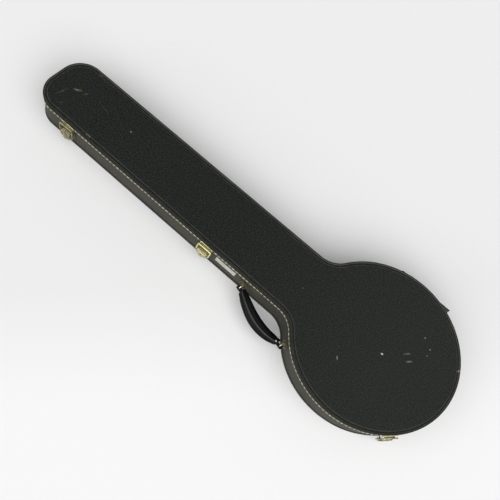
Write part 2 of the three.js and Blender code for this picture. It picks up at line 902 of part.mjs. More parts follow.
function keyhole() {
  const front = leverPanelOut + leverPanelThickness + bossOut + overrun;
  const back = leverPanelOut - overrun;
  const round = new THREE.Shape();
  round.absarc(0, keyholeHeight, keyholeRadius, 0, 2 * Math.PI, false);
  const slot = block(
    -keyholeSlotHalfWidth,
    keyholeSlotHalfWidth,
    back,
    front,
    keyholeHeight - keyholeSlotDrop,
    keyholeHeight,
  );
  return join([upright(round, back, front), slot]);
}

function latchLever(withLock) {
  const panelFront = leverPanelOut + leverPanelThickness;
  const top = latchPivotHeight + leverRiseAbovePivot;
  const pieces = [upright(leverPanelShape(), leverPanelOut, panelFront)];
  [-1, 1].forEach((side) => {
    const outer = side * leverHalfWidth;
    const inner = side * (leverHalfWidth - leverFlangeThickness);
    pieces.push(block(
      Math.min(inner, outer),
      Math.max(inner, outer),
      leverFlangeOut,
      leverPanelOut + leverPanelThickness / 2,
      leverFlangeBottom,
      top,
    ));
  });
  const raised = withLock ? [lockBoss()] : leverRibs();
  let lever = join([...pieces, ...raised]);
  const reach = leverHalfWidth + overrun;
  const holes = [
    rodAlongX(latchPinRadius + seatGap, -reach, reach, latchPivotOut, latchPivotHeight),
    rodAlongX(bailStubRadius + seatGap, -reach, reach, bailPivotOut, bailPivotHeight),
  ];
  holes.forEach((hole) => {
    lever = lever.subtract(toSolid(hole));
  });
  if (withLock) {
    lever = lever.subtract(keyhole());
  }
  return toGeometry(lever);
}

// The bail is a stirrup: two bars beside the lever, joined above, each with an eye and an inward stub
function latchBail() {
  const inner = bailInnerHalfWidth;
  const outer = inner + bailBarWidth;
  const cornerRadius = bailBarWidth;
  const shape = new THREE.Shape();
  shape.moveTo(-outer, bailPivotHeight);
  shape.absarc(-outer + bailEyeRadius, bailPivotHeight, bailEyeRadius, Math.PI, 2 * Math.PI, false);
  shape.lineTo(-inner, bailPivotHeight + bailEyeRadius);
  shape.lineTo(-inner, bailTop - bailBarWidth);
  shape.lineTo(inner, bailTop - bailBarWidth);
  shape.lineTo(inner, bailPivotHeight + bailEyeRadius);
  shape.lineTo(outer - 2 * bailEyeRadius, bailPivotHeight);
  shape.absarc(outer - bailEyeRadius, bailPivotHeight, bailEyeRadius, Math.PI, 2 * Math.PI, false);
  shape.lineTo(outer, bailTop - cornerRadius);
  shape.absarc(outer - cornerRadius, bailTop - cornerRadius, cornerRadius, 0, Math.PI / 2, false);
  shape.lineTo(-outer + cornerRadius, bailTop);
  shape.absarc(
    -outer + cornerRadius,
    bailTop - cornerRadius,
    cornerRadius,
    Math.PI / 2,
    Math.PI,
    false,
  );
  const back = bailPivotOut - bailBarWidth / 2;
  const front = bailPivotOut + bailBarWidth / 2;
  const pieces = [upright(shape, back, front, bailBevel)];
  const stubEnd = leverHalfWidth - leverFlangeThickness - bailStubReach;
  [-1, 1].forEach((side) => {
    const root = side * (inner + bailBarWidth / 2);
    const end = side * stubEnd;
    pieces.push(rodAlongX(
      bailStubRadius,
      Math.min(root, end),
      Math.max(root, end),
      bailPivotOut,
      bailPivotHeight,
    ));
  });
  return toGeometry(join(pieces));
}

// The strike's hook ends just short of the bail's top bar, so the lid can rise past a closed latch
function latchStrike() {
  const plateBack = bindingOuter - wallFace + seatGap;
  const plateFront = plateBack + latchPlateThickness;
  const hookFront = bailPivotOut - bailBarWidth / 2 - seatGap;
  const plateShape = roundedShape(
    -strikeHalfWidth,
    strikeHalfWidth,
    strikeBottom,
    strikeTop,
    strikeCornerRadius,
  );
  const hookRadius = hookHeight / 2;
  const hookCentre = hookBottom + hookRadius;
  const pieces = [
    upright(plateShape, plateBack, plateFront),
    block(
      -hookHalfWidth,
      hookHalfWidth,
      plateBack + latchPlateThickness / 2,
      hookFront - hookRadius,
      hookBottom,
      hookBottom + hookHeight,
    ),
    rodAlongX(hookRadius, -hookHalfWidth, hookHalfWidth, hookFront - hookRadius, hookCentre),
  ];
  return toGeometry(join(pieces));
}

const latchSpots = [
  ['head', neckFrontSpot(headLatchReach), false, 'agedBrass'],
  ['neck', neckFrontSpot(neckLatchReach), true, 'brass'],
  ['pot', potFrontSpot(Math.PI * potLatchTurnShare), false, 'agedBrass'],
];
latchSpots.forEach(([place, spot, withLock, finish]) => {
  const group = wallGroup(spot.at, spot.out);
  addMesh(group, `${place}_latch_base`, latchBase(), finish);
  addMesh(group, `${place}_latch_pin`, latchPin(), finish);
  addMesh(group, `${place}_latch_lever`, latchLever(withLock), finish);
  addMesh(group, `${place}_latch_bail`, latchBail(), finish);
  addMesh(group, `${place}_latch_strike`, latchStrike(), finish);
});

// Bare plate beside the neck latch

const namePlateSpot = neckFrontSpot(namePlateReach);
const namePlateShape = roundedShape(
  -namePlateHalfLength,
  namePlateHalfLength,
  namePlateBottom,
  namePlateBottom + namePlateHeight,
  namePlateCornerRadius,
);
addMesh(
  wallGroup(namePlateSpot.at, namePlateSpot.out),
  'front_plate',
  upright(namePlateShape, seatGap, seatGap + namePlateThickness),
  'platePaint',
);

// Handle: two staples share one line; a ring hangs on each, and the grip's tabs hold the rings

function pivotPoint(spot, out) {
  const fromRim = wallFace + out;
  return new THREE.Vector3(
    spot.at.x + spot.out.x * fromRim,
    spot.at.y + spot.out.y * fromRim,
    handleHeight,
  );
}

const neckSpot = neckFrontSpot(handleNeckReach);
const potSpot = potFrontSpot(angleBeforeFillet(handlePotLead));
const neckPivot = pivotPoint(neckSpot, neckPivotOut);
const potPivot = pivotPoint(potSpot, potPivotOut);
const handleSpan = neckPivot.distanceTo(potPivot);
const handleGroup = new THREE.Group();
handleGroup.position.copy(potPivot);
handleGroup.rotation.z = Math.atan2(neckPivot.y - potPivot.y, neckPivot.x - potPivot.x);
banjoCase.add(handleGroup);

// Bracket: a plate on the wall, and a staple whose bar lies on the handle's line
function handleBracket(spot, pivot) {
  const plateShape = roundedShape(
    -bracketHalfWidth,
    bracketHalfWidth,
    handleHeight - bracketHalfHeight,
    handleHeight + bracketHalfHeight,
    bracketCornerRadius,
  );
  const turn = Math.atan2(spot.out.y, spot.out.x) - Math.PI / 2;
  const faceX = spot.at.x + spot.out.x * wallFace;
  const faceY = spot.at.y + spot.out.y * wallFace;
  const wallPlate = upright(plateShape, seatGap, seatGap + bracketThickness)
    .rotateZ(turn)
    .translate(faceX, faceY, 0);
  const line = neckPivot.clone().sub(potPivot).normalize();
  const inward = new THREE.Vector3(-spot.out.x, -spot.out.y, 0);
  const ends = [-1, 1].map((side) => pivot.clone().addScaledVector(line, side * stapleHalfLength));
  const feet = ends.map((end) => {
    const offWall = (end.x - faceX) * spot.out.x + (end.y - faceY) * spot.out.y;
    return end.clone().addScaledVector(inward, offWall - seatGap - bracketThickness / 2);
  });
  const staple = bentWire(stapleRadius, [feet[0], ends[0], ends[1], feet[1]], stapleBend);
  return toGeometry(join([wallPlate, staple]));
}

addMesh(banjoCase, 'handle_bracket_neck', handleBracket(neckSpot, neckPivot), 'agedBrass');
addMesh(banjoCase, 'handle_bracket_pot', handleBracket(potSpot, potPivot), 'agedBrass');

// In the handle's group X runs along the line between the staples and Y points away from the case
const ringCentreOut = ringRadius - ringWireRadius - stapleRadius - seatGap;

function handleRing(x, wireRadius) {
  const geometry = new THREE.TorusGeometry(ringRadius, wireRadius, ringTubeSides, ringSides);
  return geometry.rotateY(Math.PI / 2).translate(x, ringCentreOut, 0);
}

function gripCentre(share) {
  const bow = Math.sin(Math.PI * share ** gripSkewShare);
  return new THREE.Vector3(
    gripEndInset + (handleSpan - 2 * gripEndInset) * share,
    gripEndOut + gripBow * bow,
    0,
  );
}

function gripSwell(share) {
  const body = Math.sin(Math.PI * share) ** gripSwellShare;
  return gripEndWidthShare + (1 - gripEndWidthShare) * body;
}

// Rounded sections with a raised ridge along the top and the bottom
function gripGeometry() {
  const rings = Array.from({ length: gripStations }, (_, station) => {
    const share = (1 - Math.cos((Math.PI * station) / (gripStations - 1))) / 2;
    const centre = gripCentre(share);
    const swell = gripSwell(share);
    return Array.from({ length: gripSides }, (__, side) => {
      const angle = (2 * Math.PI * side) / gripSides;
      const ridge = 1 + gripRidgeShare * Math.abs(Math.sin(angle)) ** gripRidgePower;
      return new THREE.Vector3(
        centre.x,
        centre.y + gripHalfWidth * swell * Math.cos(angle),
        gripHalfHeight * swell * Math.sin(angle) * ridge,
      );
    });
  });
  return loft(rings);
}

// A tab at each end holds the outer side of its ring and reaches further into the grip than beyond it
function handleGrip() {
  const tabOut = ringCentreOut + ringRadius;
  let grip = toSolid(gripGeometry());
  [0, handleSpan].forEach((x) => {
    const before = x > 0 ? tabReach : tabEndReach;
    const after = x > 0 ? tabEndReach : tabReach;
    const tab = upright(
      roundedShape(x - before, x + after, -tabHalfHeight, tabHalfHeight, tabCornerRadius),
      tabOut - tabInward,
      tabOut + tabOutward,
    );
    const clearance = handleRing(x, ringWireRadius + seatGap);
    grip = grip.add(toSolid(tab)).subtract(toSolid(clearance));
  });
  return toGeometry(grip);
}

addMesh(handleGroup, 'handle_grip', handleGrip(), 'leather');
addMesh(handleGroup, 'handle_ring_pot', handleRing(0, ringWireRadius), 'nickel');
addMesh(handleGroup, 'handle_ring_neck', handleRing(handleSpan, ringWireRadius), 'nickel');

banjoCase.updateMatrixWorld(true);

export default banjoCase;
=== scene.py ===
"""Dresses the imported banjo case: vinyl shells, stitched binding, plush, brass and leather.

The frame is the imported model's: metres, +X towards the pot's far end, -Y the front, +Z up.
"""

import json
import math

import bmesh
import bpy
import numpy as np
from bpy.props import FloatProperty, FloatVectorProperty, PointerProperty
from mathutils import Matrix, Vector


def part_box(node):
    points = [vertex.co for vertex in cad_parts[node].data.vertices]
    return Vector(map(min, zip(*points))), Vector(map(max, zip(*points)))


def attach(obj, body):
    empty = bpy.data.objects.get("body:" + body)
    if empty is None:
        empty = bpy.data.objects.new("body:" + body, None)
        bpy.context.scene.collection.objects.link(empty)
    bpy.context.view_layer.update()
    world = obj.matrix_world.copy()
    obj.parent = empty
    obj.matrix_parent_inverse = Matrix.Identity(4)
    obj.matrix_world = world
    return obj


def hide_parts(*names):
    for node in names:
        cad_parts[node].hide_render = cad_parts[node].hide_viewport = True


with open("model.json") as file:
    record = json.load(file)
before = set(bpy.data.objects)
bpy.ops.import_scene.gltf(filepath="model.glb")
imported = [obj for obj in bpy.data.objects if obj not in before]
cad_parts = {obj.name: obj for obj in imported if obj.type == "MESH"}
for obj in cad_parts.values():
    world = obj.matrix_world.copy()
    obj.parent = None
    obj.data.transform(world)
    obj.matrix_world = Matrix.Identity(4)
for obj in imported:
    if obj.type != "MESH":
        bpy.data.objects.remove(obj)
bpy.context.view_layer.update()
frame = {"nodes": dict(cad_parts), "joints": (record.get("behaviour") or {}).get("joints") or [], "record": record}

bl_info = {
    "name": "Banjo case",
    "version": (1, 0, 0),
    "blender": (4, 5, 0),
    "location": "3D View > Sidebar > Banjo case",
    "description": "Builds a closed hard case for a banjo round its packed solids",
    "category": "Add Mesh",
}

JOINTS = {joint["name"]: joint for joint in frame["joints"]}
BODY_OF = {
    node: body
    for body, nodes in frame["record"]["behaviour"]["bodies"].items()
    for node in nodes
}
MM = 0.001


# Sizes and colours that a user would change


def linear(code):
    """Turns an sRGB hex code to linear: a share up to 0.04045 is divided by 12.92, a higher one is
    (share + 0.055) / 1.055 to the power 2.4."""
    parts = np.array([int(code[i : i + 2], 16) / 255 for i in (1, 3, 5)])
    curve = np.where(parts <= 0.04045, parts / 12.92, ((parts + 0.055) / 1.055) ** 2.4)
    return tuple(float(part) for part in curve)


def distance(name, description, default):
    kind = {"precision": 5, "unit": "LENGTH", "subtype": "DISTANCE"}
    return FloatProperty(name=name, description=description, default=default, **kind)


def tint(name, description, code):
    kind = {"size": 3, "min": 0, "max": 1, "subtype": "COLOR"}
    return FloatVectorProperty(name=name, description=description, default=linear(code), **kind)


class CaseSizes(bpy.types.PropertyGroup):
    pot_half_length: distance("Pot half length", "Half of the round end's length at the rim", 0.190)
    pot_half_width: distance("Pot half width", "Half of the round end's width at the rim", 0.170)
    head_reach: distance("Head reach, back", "From the pot's middle to the back corner", 0.862)
    head_front_reach: distance("Head reach, front", "From the middle to the front corner", 0.8675)
    neck_at_pot: distance("Neck half width at the pot", "Half width beside the pot", 0.071)
    neck_at_head: distance("Neck half width at the head", "Half width at the narrow end", 0.064)
    fillet_radius: distance("Corner radius", "Hollow corner between neck and pot", 0.062)
    head_radius: distance("Head back radius", "Round back corner of the narrow end", 0.056)
    head_front_radius: distance("Head front radius", "Squarer front corner", 0.043)
    body_height: distance("Body height", "Height of the parting line", 0.074)
    lid_depth: distance("Lid depth", "Height of the lid above the parting line", 0.026)
    stitch_pitch: distance("Stitch pitch", "From one stitch to the next", 0.0095)
    stitch_length: distance("Stitch length", "Length of thread that shows", 0.0064)
    stitch_width: distance("Thread thickness", "Thickness of the thread", 0.0017)
    grip_width: distance("Grip half width", "Half of the grip's width at its middle", 0.014)
    grip_thickness: distance("Grip half height", "Half of the grip's height at its middle", 0.0095)
    grip_bow: distance("Grip bow", "How far the grip's middle stands out past its ends", 0.0144)
    grip_end_out: distance("Grip end distance", "From the swing's line to the grip's ends", 0.0039)
    grip_inset: distance("Grip inset", "From a ring to the grip's end", 0.008)
    ring_radius: distance("Ring radius", "From the middle of a ring to that of its wire", 0.0046)
    ring_wire: distance("Ring wire", "Half of the wire's thickness", 0.0012)


class CaseColours(bpy.types.PropertyGroup):
    lid_vinyl: tint("Lid vinyl", "Black grained vinyl of the lid", "#0b0e0d")
    lid_worn: tint("Lid vinyl, rubbed", "Where the lid is rubbed grey", "#161917")
    body_vinyl: tint("Body vinyl", "Brownish grey ribbed vinyl of the body", "#36352d")
    body_worn: tint("Body vinyl, worn", "Where the body's vinyl is faded", "#49483e")
    binding: tint("Binding", "Olive strip under the stitches", "#3a392b")
    thread: tint("Thread", "Pale waxed thread", "#ebe8d4")
    plush: tint("Plush", "Short pile inside", "#8a6226")
    brass: tint("Brass", "Bright brass of the neck latch", "#e8e296")
    old_brass: tint("Old brass", "Dulled brass of the other fittings", "#a39e7b")
    tarnish: tint("Tarnish", "Brown in the corners of old brass", "#3f3a28")
    leather: tint("Leather", "Black leather of the grip", "#0d0e0e")
    plate: tint("Plate", "Bare pale plate", "#c9cabf")
    floor: tint("Floor", "Plain pale floor", "#f7f7f7")


def sizes():
    return bpy.context.scene.banjo_case_sizes


def colours():
    return bpy.context.scene.banjo_case_colours


# Materials: one function adds a node, every pattern is on Object coordinates or a piece's own UV


def rgba(colour):
    """A shader's colour, from an sRGB hex code or from three linear numbers."""
    return (*(linear(colour) if isinstance(colour, str) else colour[:3]), 1.0)


def connect(tree, node, inputs):
    """Links the sockets among the inputs; numbers and colours stand on the node's own sockets."""
    for key, value in inputs.items() if isinstance(inputs, dict) else enumerate(inputs):
        if isinstance(value, bpy.types.NodeSocket):
            tree.links.new(value, node.inputs[key])
        else:
            node.inputs[key].default_value = value


def add(tree, kind, inputs, output=0, **settings):
    """Adds one node with its own settings and inputs, a row or a dict, and gives one output."""
    node = tree.nodes.new("ShaderNode" + kind)
    for key, value in settings.items():
        setattr(node, key, value)
    connect(tree, node, inputs)
    return node.outputs[output]


def start_material(name):
    """A new material, its node tree and the coordinates of the object."""
    material = bpy.data.materials.new(name)
    material.use_nodes = True
    return material, material.node_tree, add(material.node_tree, "TexCoord", {}, "Object")


def shaded(material, inputs):
    """Sets a material's own shader and gives the material back. The colour is a ground under coats
    of (mask, colour, what thins it), laid on in turn. The normal comes from bumps laid over one
    another: (height pattern, depth in millimetres, strength)."""
    tree = material.node_tree
    ground, *coats = inputs["Base Color"]
    colour, normal = rgba(ground), {}
    for mask, coat, *shares in coats:
        for share in shares:
            mask = add(tree, "Math", (mask, share), operation="MULTIPLY")
        colour = add(tree, "Mix", {0: mask, 6: colour, 7: rgba(coat)}, 2, data_type="RGBA")
    for height, depth, strength in inputs.get("Normal", ()):
        bump = {"Height": height, "Distance": depth * MM, "Strength": strength, **normal}
        normal = {"Normal": add(tree, "Bump", bump)}
    connect(tree, tree.nodes["Principled BSDF"], {**inputs, "Base Color": colour, **normal})
    return material


def sized(place, size, detail=4.0, roughness=0.55):
    """Inputs of a texture whose features measure size millimetres."""
    return {"Vector": place, "Scale": 1 / (size * MM), "Detail": detail, "Roughness": roughness}


def wave_scale(spacing, phase=20):
    """A wave's scale for bands spacing millimetres apart: its phase is 20 times the scaled place
    along an axis, and 10 times the root of 3 times it along the diagonal."""
    return 2 * math.pi / (phase * spacing * MM)


def patches(tree, noise, *span):
    """A mask of noise: from 0 to 1, or from the third number to the fourth, as the noise runs from
    the first to the second."""
    return add(tree, "MapRange", (add(tree, "TexNoise", noise), *span))


def mark(tree, place, centre, reach, turn):
    """A long or round spot: 1 inside an ellipse of half sizes reach about centre, both in
    millimetres, and 0 outside it, with a soft edge."""
    softness = 0.6
    inputs = {
        "Vector": place,
        "Location": tuple(value * MM for value in centre),
        "Rotation": (0.0, 0.0, math.radians(turn)),
        "Scale": tuple(value * MM for value in reach),
    }
    inside = add(tree, "Mapping", inputs, vector_type="TEXTURE")
    away = add(tree, "VectorMath", [inside], "Value", operation="LENGTH")
    return add(tree, "MapRange", (away, 1 - softness, 1, 1, 0))


def stripe(tree, value, centre, half):
    """1 where value is centre, falling to 0 at half either side, both in millimetres."""
    shifted = add(tree, "Math", (value, centre * MM), operation="SUBTRACT")
    away = add(tree, "Math", [shifted], operation="ABSOLUTE")
    return add(tree, "MapRange", (away, 0, half * MM, 1, 0))


def worn_spots(tree, place, broken, spots):
    """Coats for spots of (centre, half sizes, turn, colour, strength), made ragged by broken."""
    return [
        (mark(tree, place, centre, reach, turn), colour, broken, strength)
        for centre, reach, turn, colour, strength in spots
    ]


# Scuffs on the lid: (x, y) and half sizes in millimetres, turn in degrees, colour, strength
LID_MARKS = (
    ((-51, -73), (6, 1.5), -51, "#a3a196", 1.0),
    ((17, -5), (3.6, 2.2), 10, "#f2f1e6", 1.0),
    ((58, 30), (10, 2.8), 40, "#6c6d65", 0.8),
    ((71, 20), (8, 2.6), 42, "#85857b", 0.9),
    ((68, 82), (2.8, 2.0), 0, "#a8a79b", 0.9),
    ((94, 55), (2.6, 1.9), 30, "#a09f94", 0.9),
    ((91, 69), (2.2, 1.9), 0, "#98978c", 0.9),
    ((-808, 1), (11, 3.2), 24, "#7b745c", 0.8),
    ((-790, 6), (7, 2.0), 55, "#66614f", 0.6),
    ((-830, -23), (16, 2.8), 68, "#504e44", 0.55),
    ((-745, 8), (22, 0.9), -10, "#4f4f4b", 0.55),
    ((-670, 7), (3.0, 2.2), 0, "#86857a", 0.85),
    ((-632, 17), (1.6, 1.2), 0, "#5d5d57", 0.7),
    ((-194, -8), (1.8, 1.6), 0, "#6a6a62", 0.7),
    ((-728, -58), (7, 2.2), 2, "#8f8b78", 0.9),
    ((-815, -42), (2.6, 2.0), 0, "#5f5a4c", 0.6),
    ((166, 75), (5, 2.4), 62, "#a59a7c", 0.9),
    ((-795, 57), (6, 2.2), 30, "#6e6049", 0.65),
)
# Painted highlights on the ridges of the lid's rim and painted shade in its groove: millimetres along its profile,
# half width, strength, colour
RIM_LIGHT_AND_SHADE = (
    (10.7, 2.6, 0.30, "#66665c"),
    (15.2, 1.6, 0.50, "#77776d"),
    (18.0, 1.8, 0.60, "#060707"),
    (21.3, 1.4, 0.30, "#7f7f74"),
)


def lid_vinyl_material(name, lines=()):
    """Paper-backed vinyl, embossed with a leather grain, then scuffed: soft sheen, grey rubs."""
    material, tree, place = start_material(name)
    tone = colours()
    mark_height, mark_depth = 100, 30
    clouds = add(tree, "TexNoise", sized(place, 111.1, 6))
    # Painted light: the lid is painted lighter, a little greyer and greener, towards the pot's end than at the
    # neck
    along = add(tree, "SeparateXYZ", [place])
    # The grain of about a millimetre is drawn a little coarse, so that it shows
    pores = add(tree, "TexVoronoi", sized(place, 1.613, 0))
    broken = patches(tree, sized(place, 3.846, 4, 0.7), 0.36, 0.6)
    spots = [
        ((*centre, mark_height), (*reach, mark_depth), turn, colour, strength)
        for centre, reach, turn, colour, strength in LID_MARKS
    ]
    coats = [
        (add(tree, "MapRange", (clouds, 0.35, 0.75, 0, 0.55)), tone.lid_worn),
        (add(tree, "MapRange", (along, -0.35, 0.05, 0, 0.42)), "#262924"),
        (patches(tree, sized(place, 2.326, 2, 0.7), 0.46, 0.68, 0, 0.42), "#484b46"),
        *worn_spots(tree, place, broken, spots),
    ]
    # Painted highlights along the rim's ridges and painted shade in its groove, broken in patches
    if lines:
        across = add(tree, "SeparateXYZ", [add(tree, "TexCoord", {}, "UV")], 1)
        patchy_light = patches(tree, sized(place, 28.57, 5, 0.65), 0.34, 0.62, 0.45, 1)
        for centre, half, strength, colour in lines:
            ridge = stripe(tree, across, centre, half)
            coats.append((ridge, colour, patchy_light, strength))
    waves = add(tree, "TexNoise", sized(place, 38.46, 3))
    inputs = {
        "Specular IOR Level": 0.1,
        "IOR": 1.5,
        "Base Color": [tone.lid_vinyl, *coats],
        "Roughness": add(tree, "MapRange", (clouds, 0.3, 0.7, 0.58, 0.7)),
        "Normal": [(pores, 0.12, 0.55), (waves, 0.6, 0.35)],
    }
    return shaded(material, inputs)


def body_vinyl_material():
    """Book-cloth vinyl, calendered with fine ribs: dull, brownish grey, faded in patches."""
    material, tree, place = start_material("ribbed book cloth vinyl")
    tone = colours()
    clouds = add(tree, "TexNoise", sized(place, 71.43, 7, 0.62))
    unrolled = add(tree, "TexCoord", {}, "UV")
    # Ribs 4.2 mm apart; the real ones are finer, these are as coarse as the picture needs
    rib_spacing, thread_spacing = 4.2, 2.1
    waves = []
    for axis, spacing in enumerate((rib_spacing, thread_spacing)):
        run = add(tree, "SeparateXYZ", [unrolled], axis)
        phase = add(tree, "Math", (run, 2 * math.pi / (spacing * MM)), operation="MULTIPLY")
        waves.append(add(tree, "Math", [phase], operation="SINE"))
    ribs, threads = waves
    weave = add(tree, "Math", (threads, 0.35, ribs), operation="MULTIPLY_ADD")
    broken = patches(tree, sized(place, 5.556, 4, 0.7), 0.35, 0.6)
    spots = (
        ((-645, -64, 65), (9, 20, 6), 0, "#6a4b2c", 0.85),
        ((-618, -64, 18), (8, 20, 5), 0, "#6a4b2c", 0.7),
        ((-262, -70, 60), (16, 14, 10), 0, "#6b6238", 0.6),
    )
    # Darker towards the bottom edge
    up = add(tree, "SeparateXYZ", [place], 2)
    colour = [
        tone.body_vinyl,
        (add(tree, "MapRange", (clouds, 0.36, 0.68)), tone.body_worn),
        (add(tree, "MapRange", (weave, -1.2, 1.2, 0, 0.65)), "#2c2b28"),
        (patches(tree, sized(place, 22.22, 5, 0.7), 0.55, 0.72, 0, 0.5), "#3a3325"),
        *worn_spots(tree, place, broken, spots),
        (add(tree, "MapRange", (up, 4 * MM, 14 * MM, 0.7, 0)), "#1e1d1a"),
    ]
    inputs = {
        "Specular IOR Level": 0.18,
        "Roughness": 0.66,
        "Base Color": colour,
        "Normal": [(weave, 0.12, 0.6), (clouds, 0.8, 0.3)],
    }
    return shaded(material, inputs)


def binding_material(name, colour, worn):
    """Extruded vinyl strip with a fine linen emboss: satin, rubbed pale in patches."""
    material, tree, place = start_material(name)
    fine = add(tree, "TexNoise", sized(place, 3.125, 3, 0.7))
    colour = [
        colour,
        (patches(tree, sized(place, 45.45, 5, 0.6), 0.38, 0.66), worn),
        (add(tree, "MapRange", (fine, 0.5, 0.75, 0, 0.4)), "#7c7861"),
    ]
    inputs = {
        "Specular IOR Level": 0.2,
        "Roughness": 0.55,
        "Base Color": colour,
        "Normal": [(fine, 0.2, 0.6)],
    }
    return shaded(material, inputs)


def thread_material():
    """Waxed linen thread, twisted: pale, slightly grubby, with a slanting twist."""
    material, tree, place = start_material("waxed linen thread")
    grubby = patches(tree, sized(place, 16.67, 5, 0.7), 0.4, 0.68, 0, 0.75)
    wave = {"Vector": place, "Scale": wave_scale(1.209, 10 * math.sqrt(3)), "Distortion": 0.6}
    twist = add(tree, "TexWave", wave, "Fac", bands_direction="DIAGONAL")
    inputs = {
        "Specular IOR Level": 0.3,
        "Roughness": 0.6,
        "Base Color": [colours().thread, (grubby, "#6d6749")],
        "Normal": [(twist, 0.2, 0.5)],
    }
    return shaded(material, inputs)


def plush_material():
    """Short rayon pile on a woven back, glued down: light on its tips, lying this way and that."""
    material, tree, place = start_material("short rayon plush")
    pile = add(tree, "TexNoise", sized(place, 0.9091, 3, 0.8))
    tufts = add(tree, "TexNoise", sized(place, 5.263, 4, 0.7))
    colour = [
        colours().plush,
        (patches(tree, sized(place, 90.91, 5, 0.6), 0.34, 0.66), "#a87f3a"),
        (add(tree, "MapRange", (pile, 0.4, 0.62, 0.55, 0)), "#3f2a0d"),
        (add(tree, "MapRange", (tufts, 0.45, 0.7, 0, 0.35)), "#c39a50"),
    ]
    inputs = {
        "Specular IOR Level": 0.12,
        "Roughness": 0.95,
        "Sheen Weight": 0.45,
        "Sheen Roughness": 0.5,
        "Sheen Tint": rgba("#e8c98a"),
        "Base Color": colour,
        "Normal": [(tufts, 1.8, 0.5), (pile, 0.9, 0.8)],
    }
    return shaded(material, inputs)


def brass_material(name, bright, dull, wear, smooth, rough, shaded_below=None):
    """Rolled brass sheet, stamped and lacquered: warm metal under an old lacquer that scatters
    part of the light, browned where the lacquer went.

    wear is the share that has browned; smooth and rough are its two roughnesses. Below the given
    height the sheet is painted dark as shade, and only its upper edge keeps the bright colour.
    """
    material, tree, place = start_material(name)
    blotches = add(tree, "TexNoise", sized(place, 7.692, 6, 0.68))
    fine = add(tree, "TexNoise", sized(place, 1.111, 3, 0.6))
    coats = [(add(tree, "MapRange", (blotches, 0.62 - wear * 0.4, 0.78 - wear * 0.3)), dull)]
    if shaded_below:
        # Painted shade: dark below the given height, with a soft edge
        up = add(tree, "SeparateXYZ", [place], 2)
        edge = 0.8 * MM
        coats.append((add(tree, "MapRange", (up, shaded_below - edge, shaded_below, 0.85, 0)), dull))
    coats.append((add(tree, "MapRange", (fine, 0.5, 0.8, 0, 0.25)), "#f2e6a8"))
    inputs = {
        "Metallic": 0.65,
        "Base Color": [bright, *coats],
        "Roughness": add(tree, "MapRange", (blotches, 0.35, 0.7, smooth, rough)),
        "Normal": [(blotches, 0.2, 0.35), (fine, 0.04, 0.4)],
    }
    return shaded(material, inputs)


def lacquer_material():
    """Black japanned steel: a thin baked lacquer, chipped to bare steel on its grain."""
    material, tree, place = start_material("black japanned steel")
    chips = patches(tree, sized(place, 4.167, 5, 0.7), 0.66, 0.72)
    orange_peel = add(tree, "TexNoise", sized(place, 2.0, 2))
    inputs = {
        "Specular IOR Level": 0.5,
        "Coat Weight": 0.3,
        "Coat Roughness": 0.25,
        "Base Color": ["#191918", (chips, "#77736a")],
        "Metallic": add(tree, "MapRange", (chips, 0, 1, 0.1, 1)),
        "Roughness": add(tree, "MapRange", (chips, 0, 1, 0.42, 0.5)),
        "Normal": [(orange_peel, 0.05, 0.4)],
    }
    return shaded(material, inputs)


def nickel_material():
    """Nickel-plated steel wire, fogged by handling: warm white metal under a scattering film."""
    material, tree, place = start_material("dulled nickel plate")
    haze = add(tree, "TexNoise", sized(place, 4.762, 5, 0.65))
    fogged = add(tree, "MapRange", (haze, 0.5, 0.78))
    inputs = {
        "Metallic": 0.55,
        "Base Color": ["#f4f0de", (fogged, "#a8a288")],
        "Roughness": add(tree, "MapRange", (haze, 0.35, 0.7, 0.18, 0.42)),
        "Normal": [(haze, 0.04, 0.4)],
    }
    return shaded(material, inputs)


def leather_material():
    """Vegetable-tanned leather, dyed black and hand-polished: creased, with a painted highlight along its upper
    ridge.
    """
    material, tree, place = start_material("polished black strap leather")
    pore_size, highlight_at, highlight_half = 1.111, 8.4, 1.4
    pores = add(tree, "TexVoronoi", sized(place, pore_size, 0), "Distance", feature="SMOOTH_F1")
    creases = add(tree, "TexNoise", sized(place, 13.33, 6, 0.7))
    # A highlight is painted along the grip's upper ridge, so far round its section from the front
    around = add(tree, "SeparateXYZ", [add(tree, "TexCoord", {}, "UV")])
    ridge = stripe(tree, around, highlight_at, highlight_half)
    uneven_highlight = add(tree, "MapRange", (creases, 0.3, 0.6, 0.45, 1))
    colour = [
        colours().leather,
        (patches(tree, sized(place, 33.33), 0.45, 0.7, 0, 0.6), "#1b1c1c"),
        (ridge, "#4f514f", uneven_highlight),
    ]
    inputs = {
        "Specular IOR Level": 0.08,
        "Base Color": colour,
        "Roughness": add(tree, "MapRange", (creases, 0.3, 0.7, 0.26, 0.42)),
        "Normal": [(creases, 0.6, 0.3), (pores, 0.1, 0.35)],
    }
    return shaded(material, inputs)


def plate_material():
    """Sheet tin with a pale stoved enamel, bare: satin, yellowed and scratched to the metal."""
    material, tree, place = start_material("pale stoved enamel")
    yellow = patches(tree, sized(place, 18.18, 5, 0.65), 0.4, 0.7)
    scratches = patches(tree, sized(place, 2.381, 6, 0.75), 0.62, 0.68)
    coats = ((yellow, "#a9a890"), (scratches, "#77766c", 0.7))
    inputs = {
        "Specular IOR Level": 0.5,
        "Metallic": 0.15,
        "Base Color": [colours().plate, *coats],
        "Roughness": add(tree, "MapRange", (yellow, 0, 1, 0.3, 0.42)),
        "Normal": [(scratches, 0.05, 0.5)],
    }
    return shaded(material, inputs)


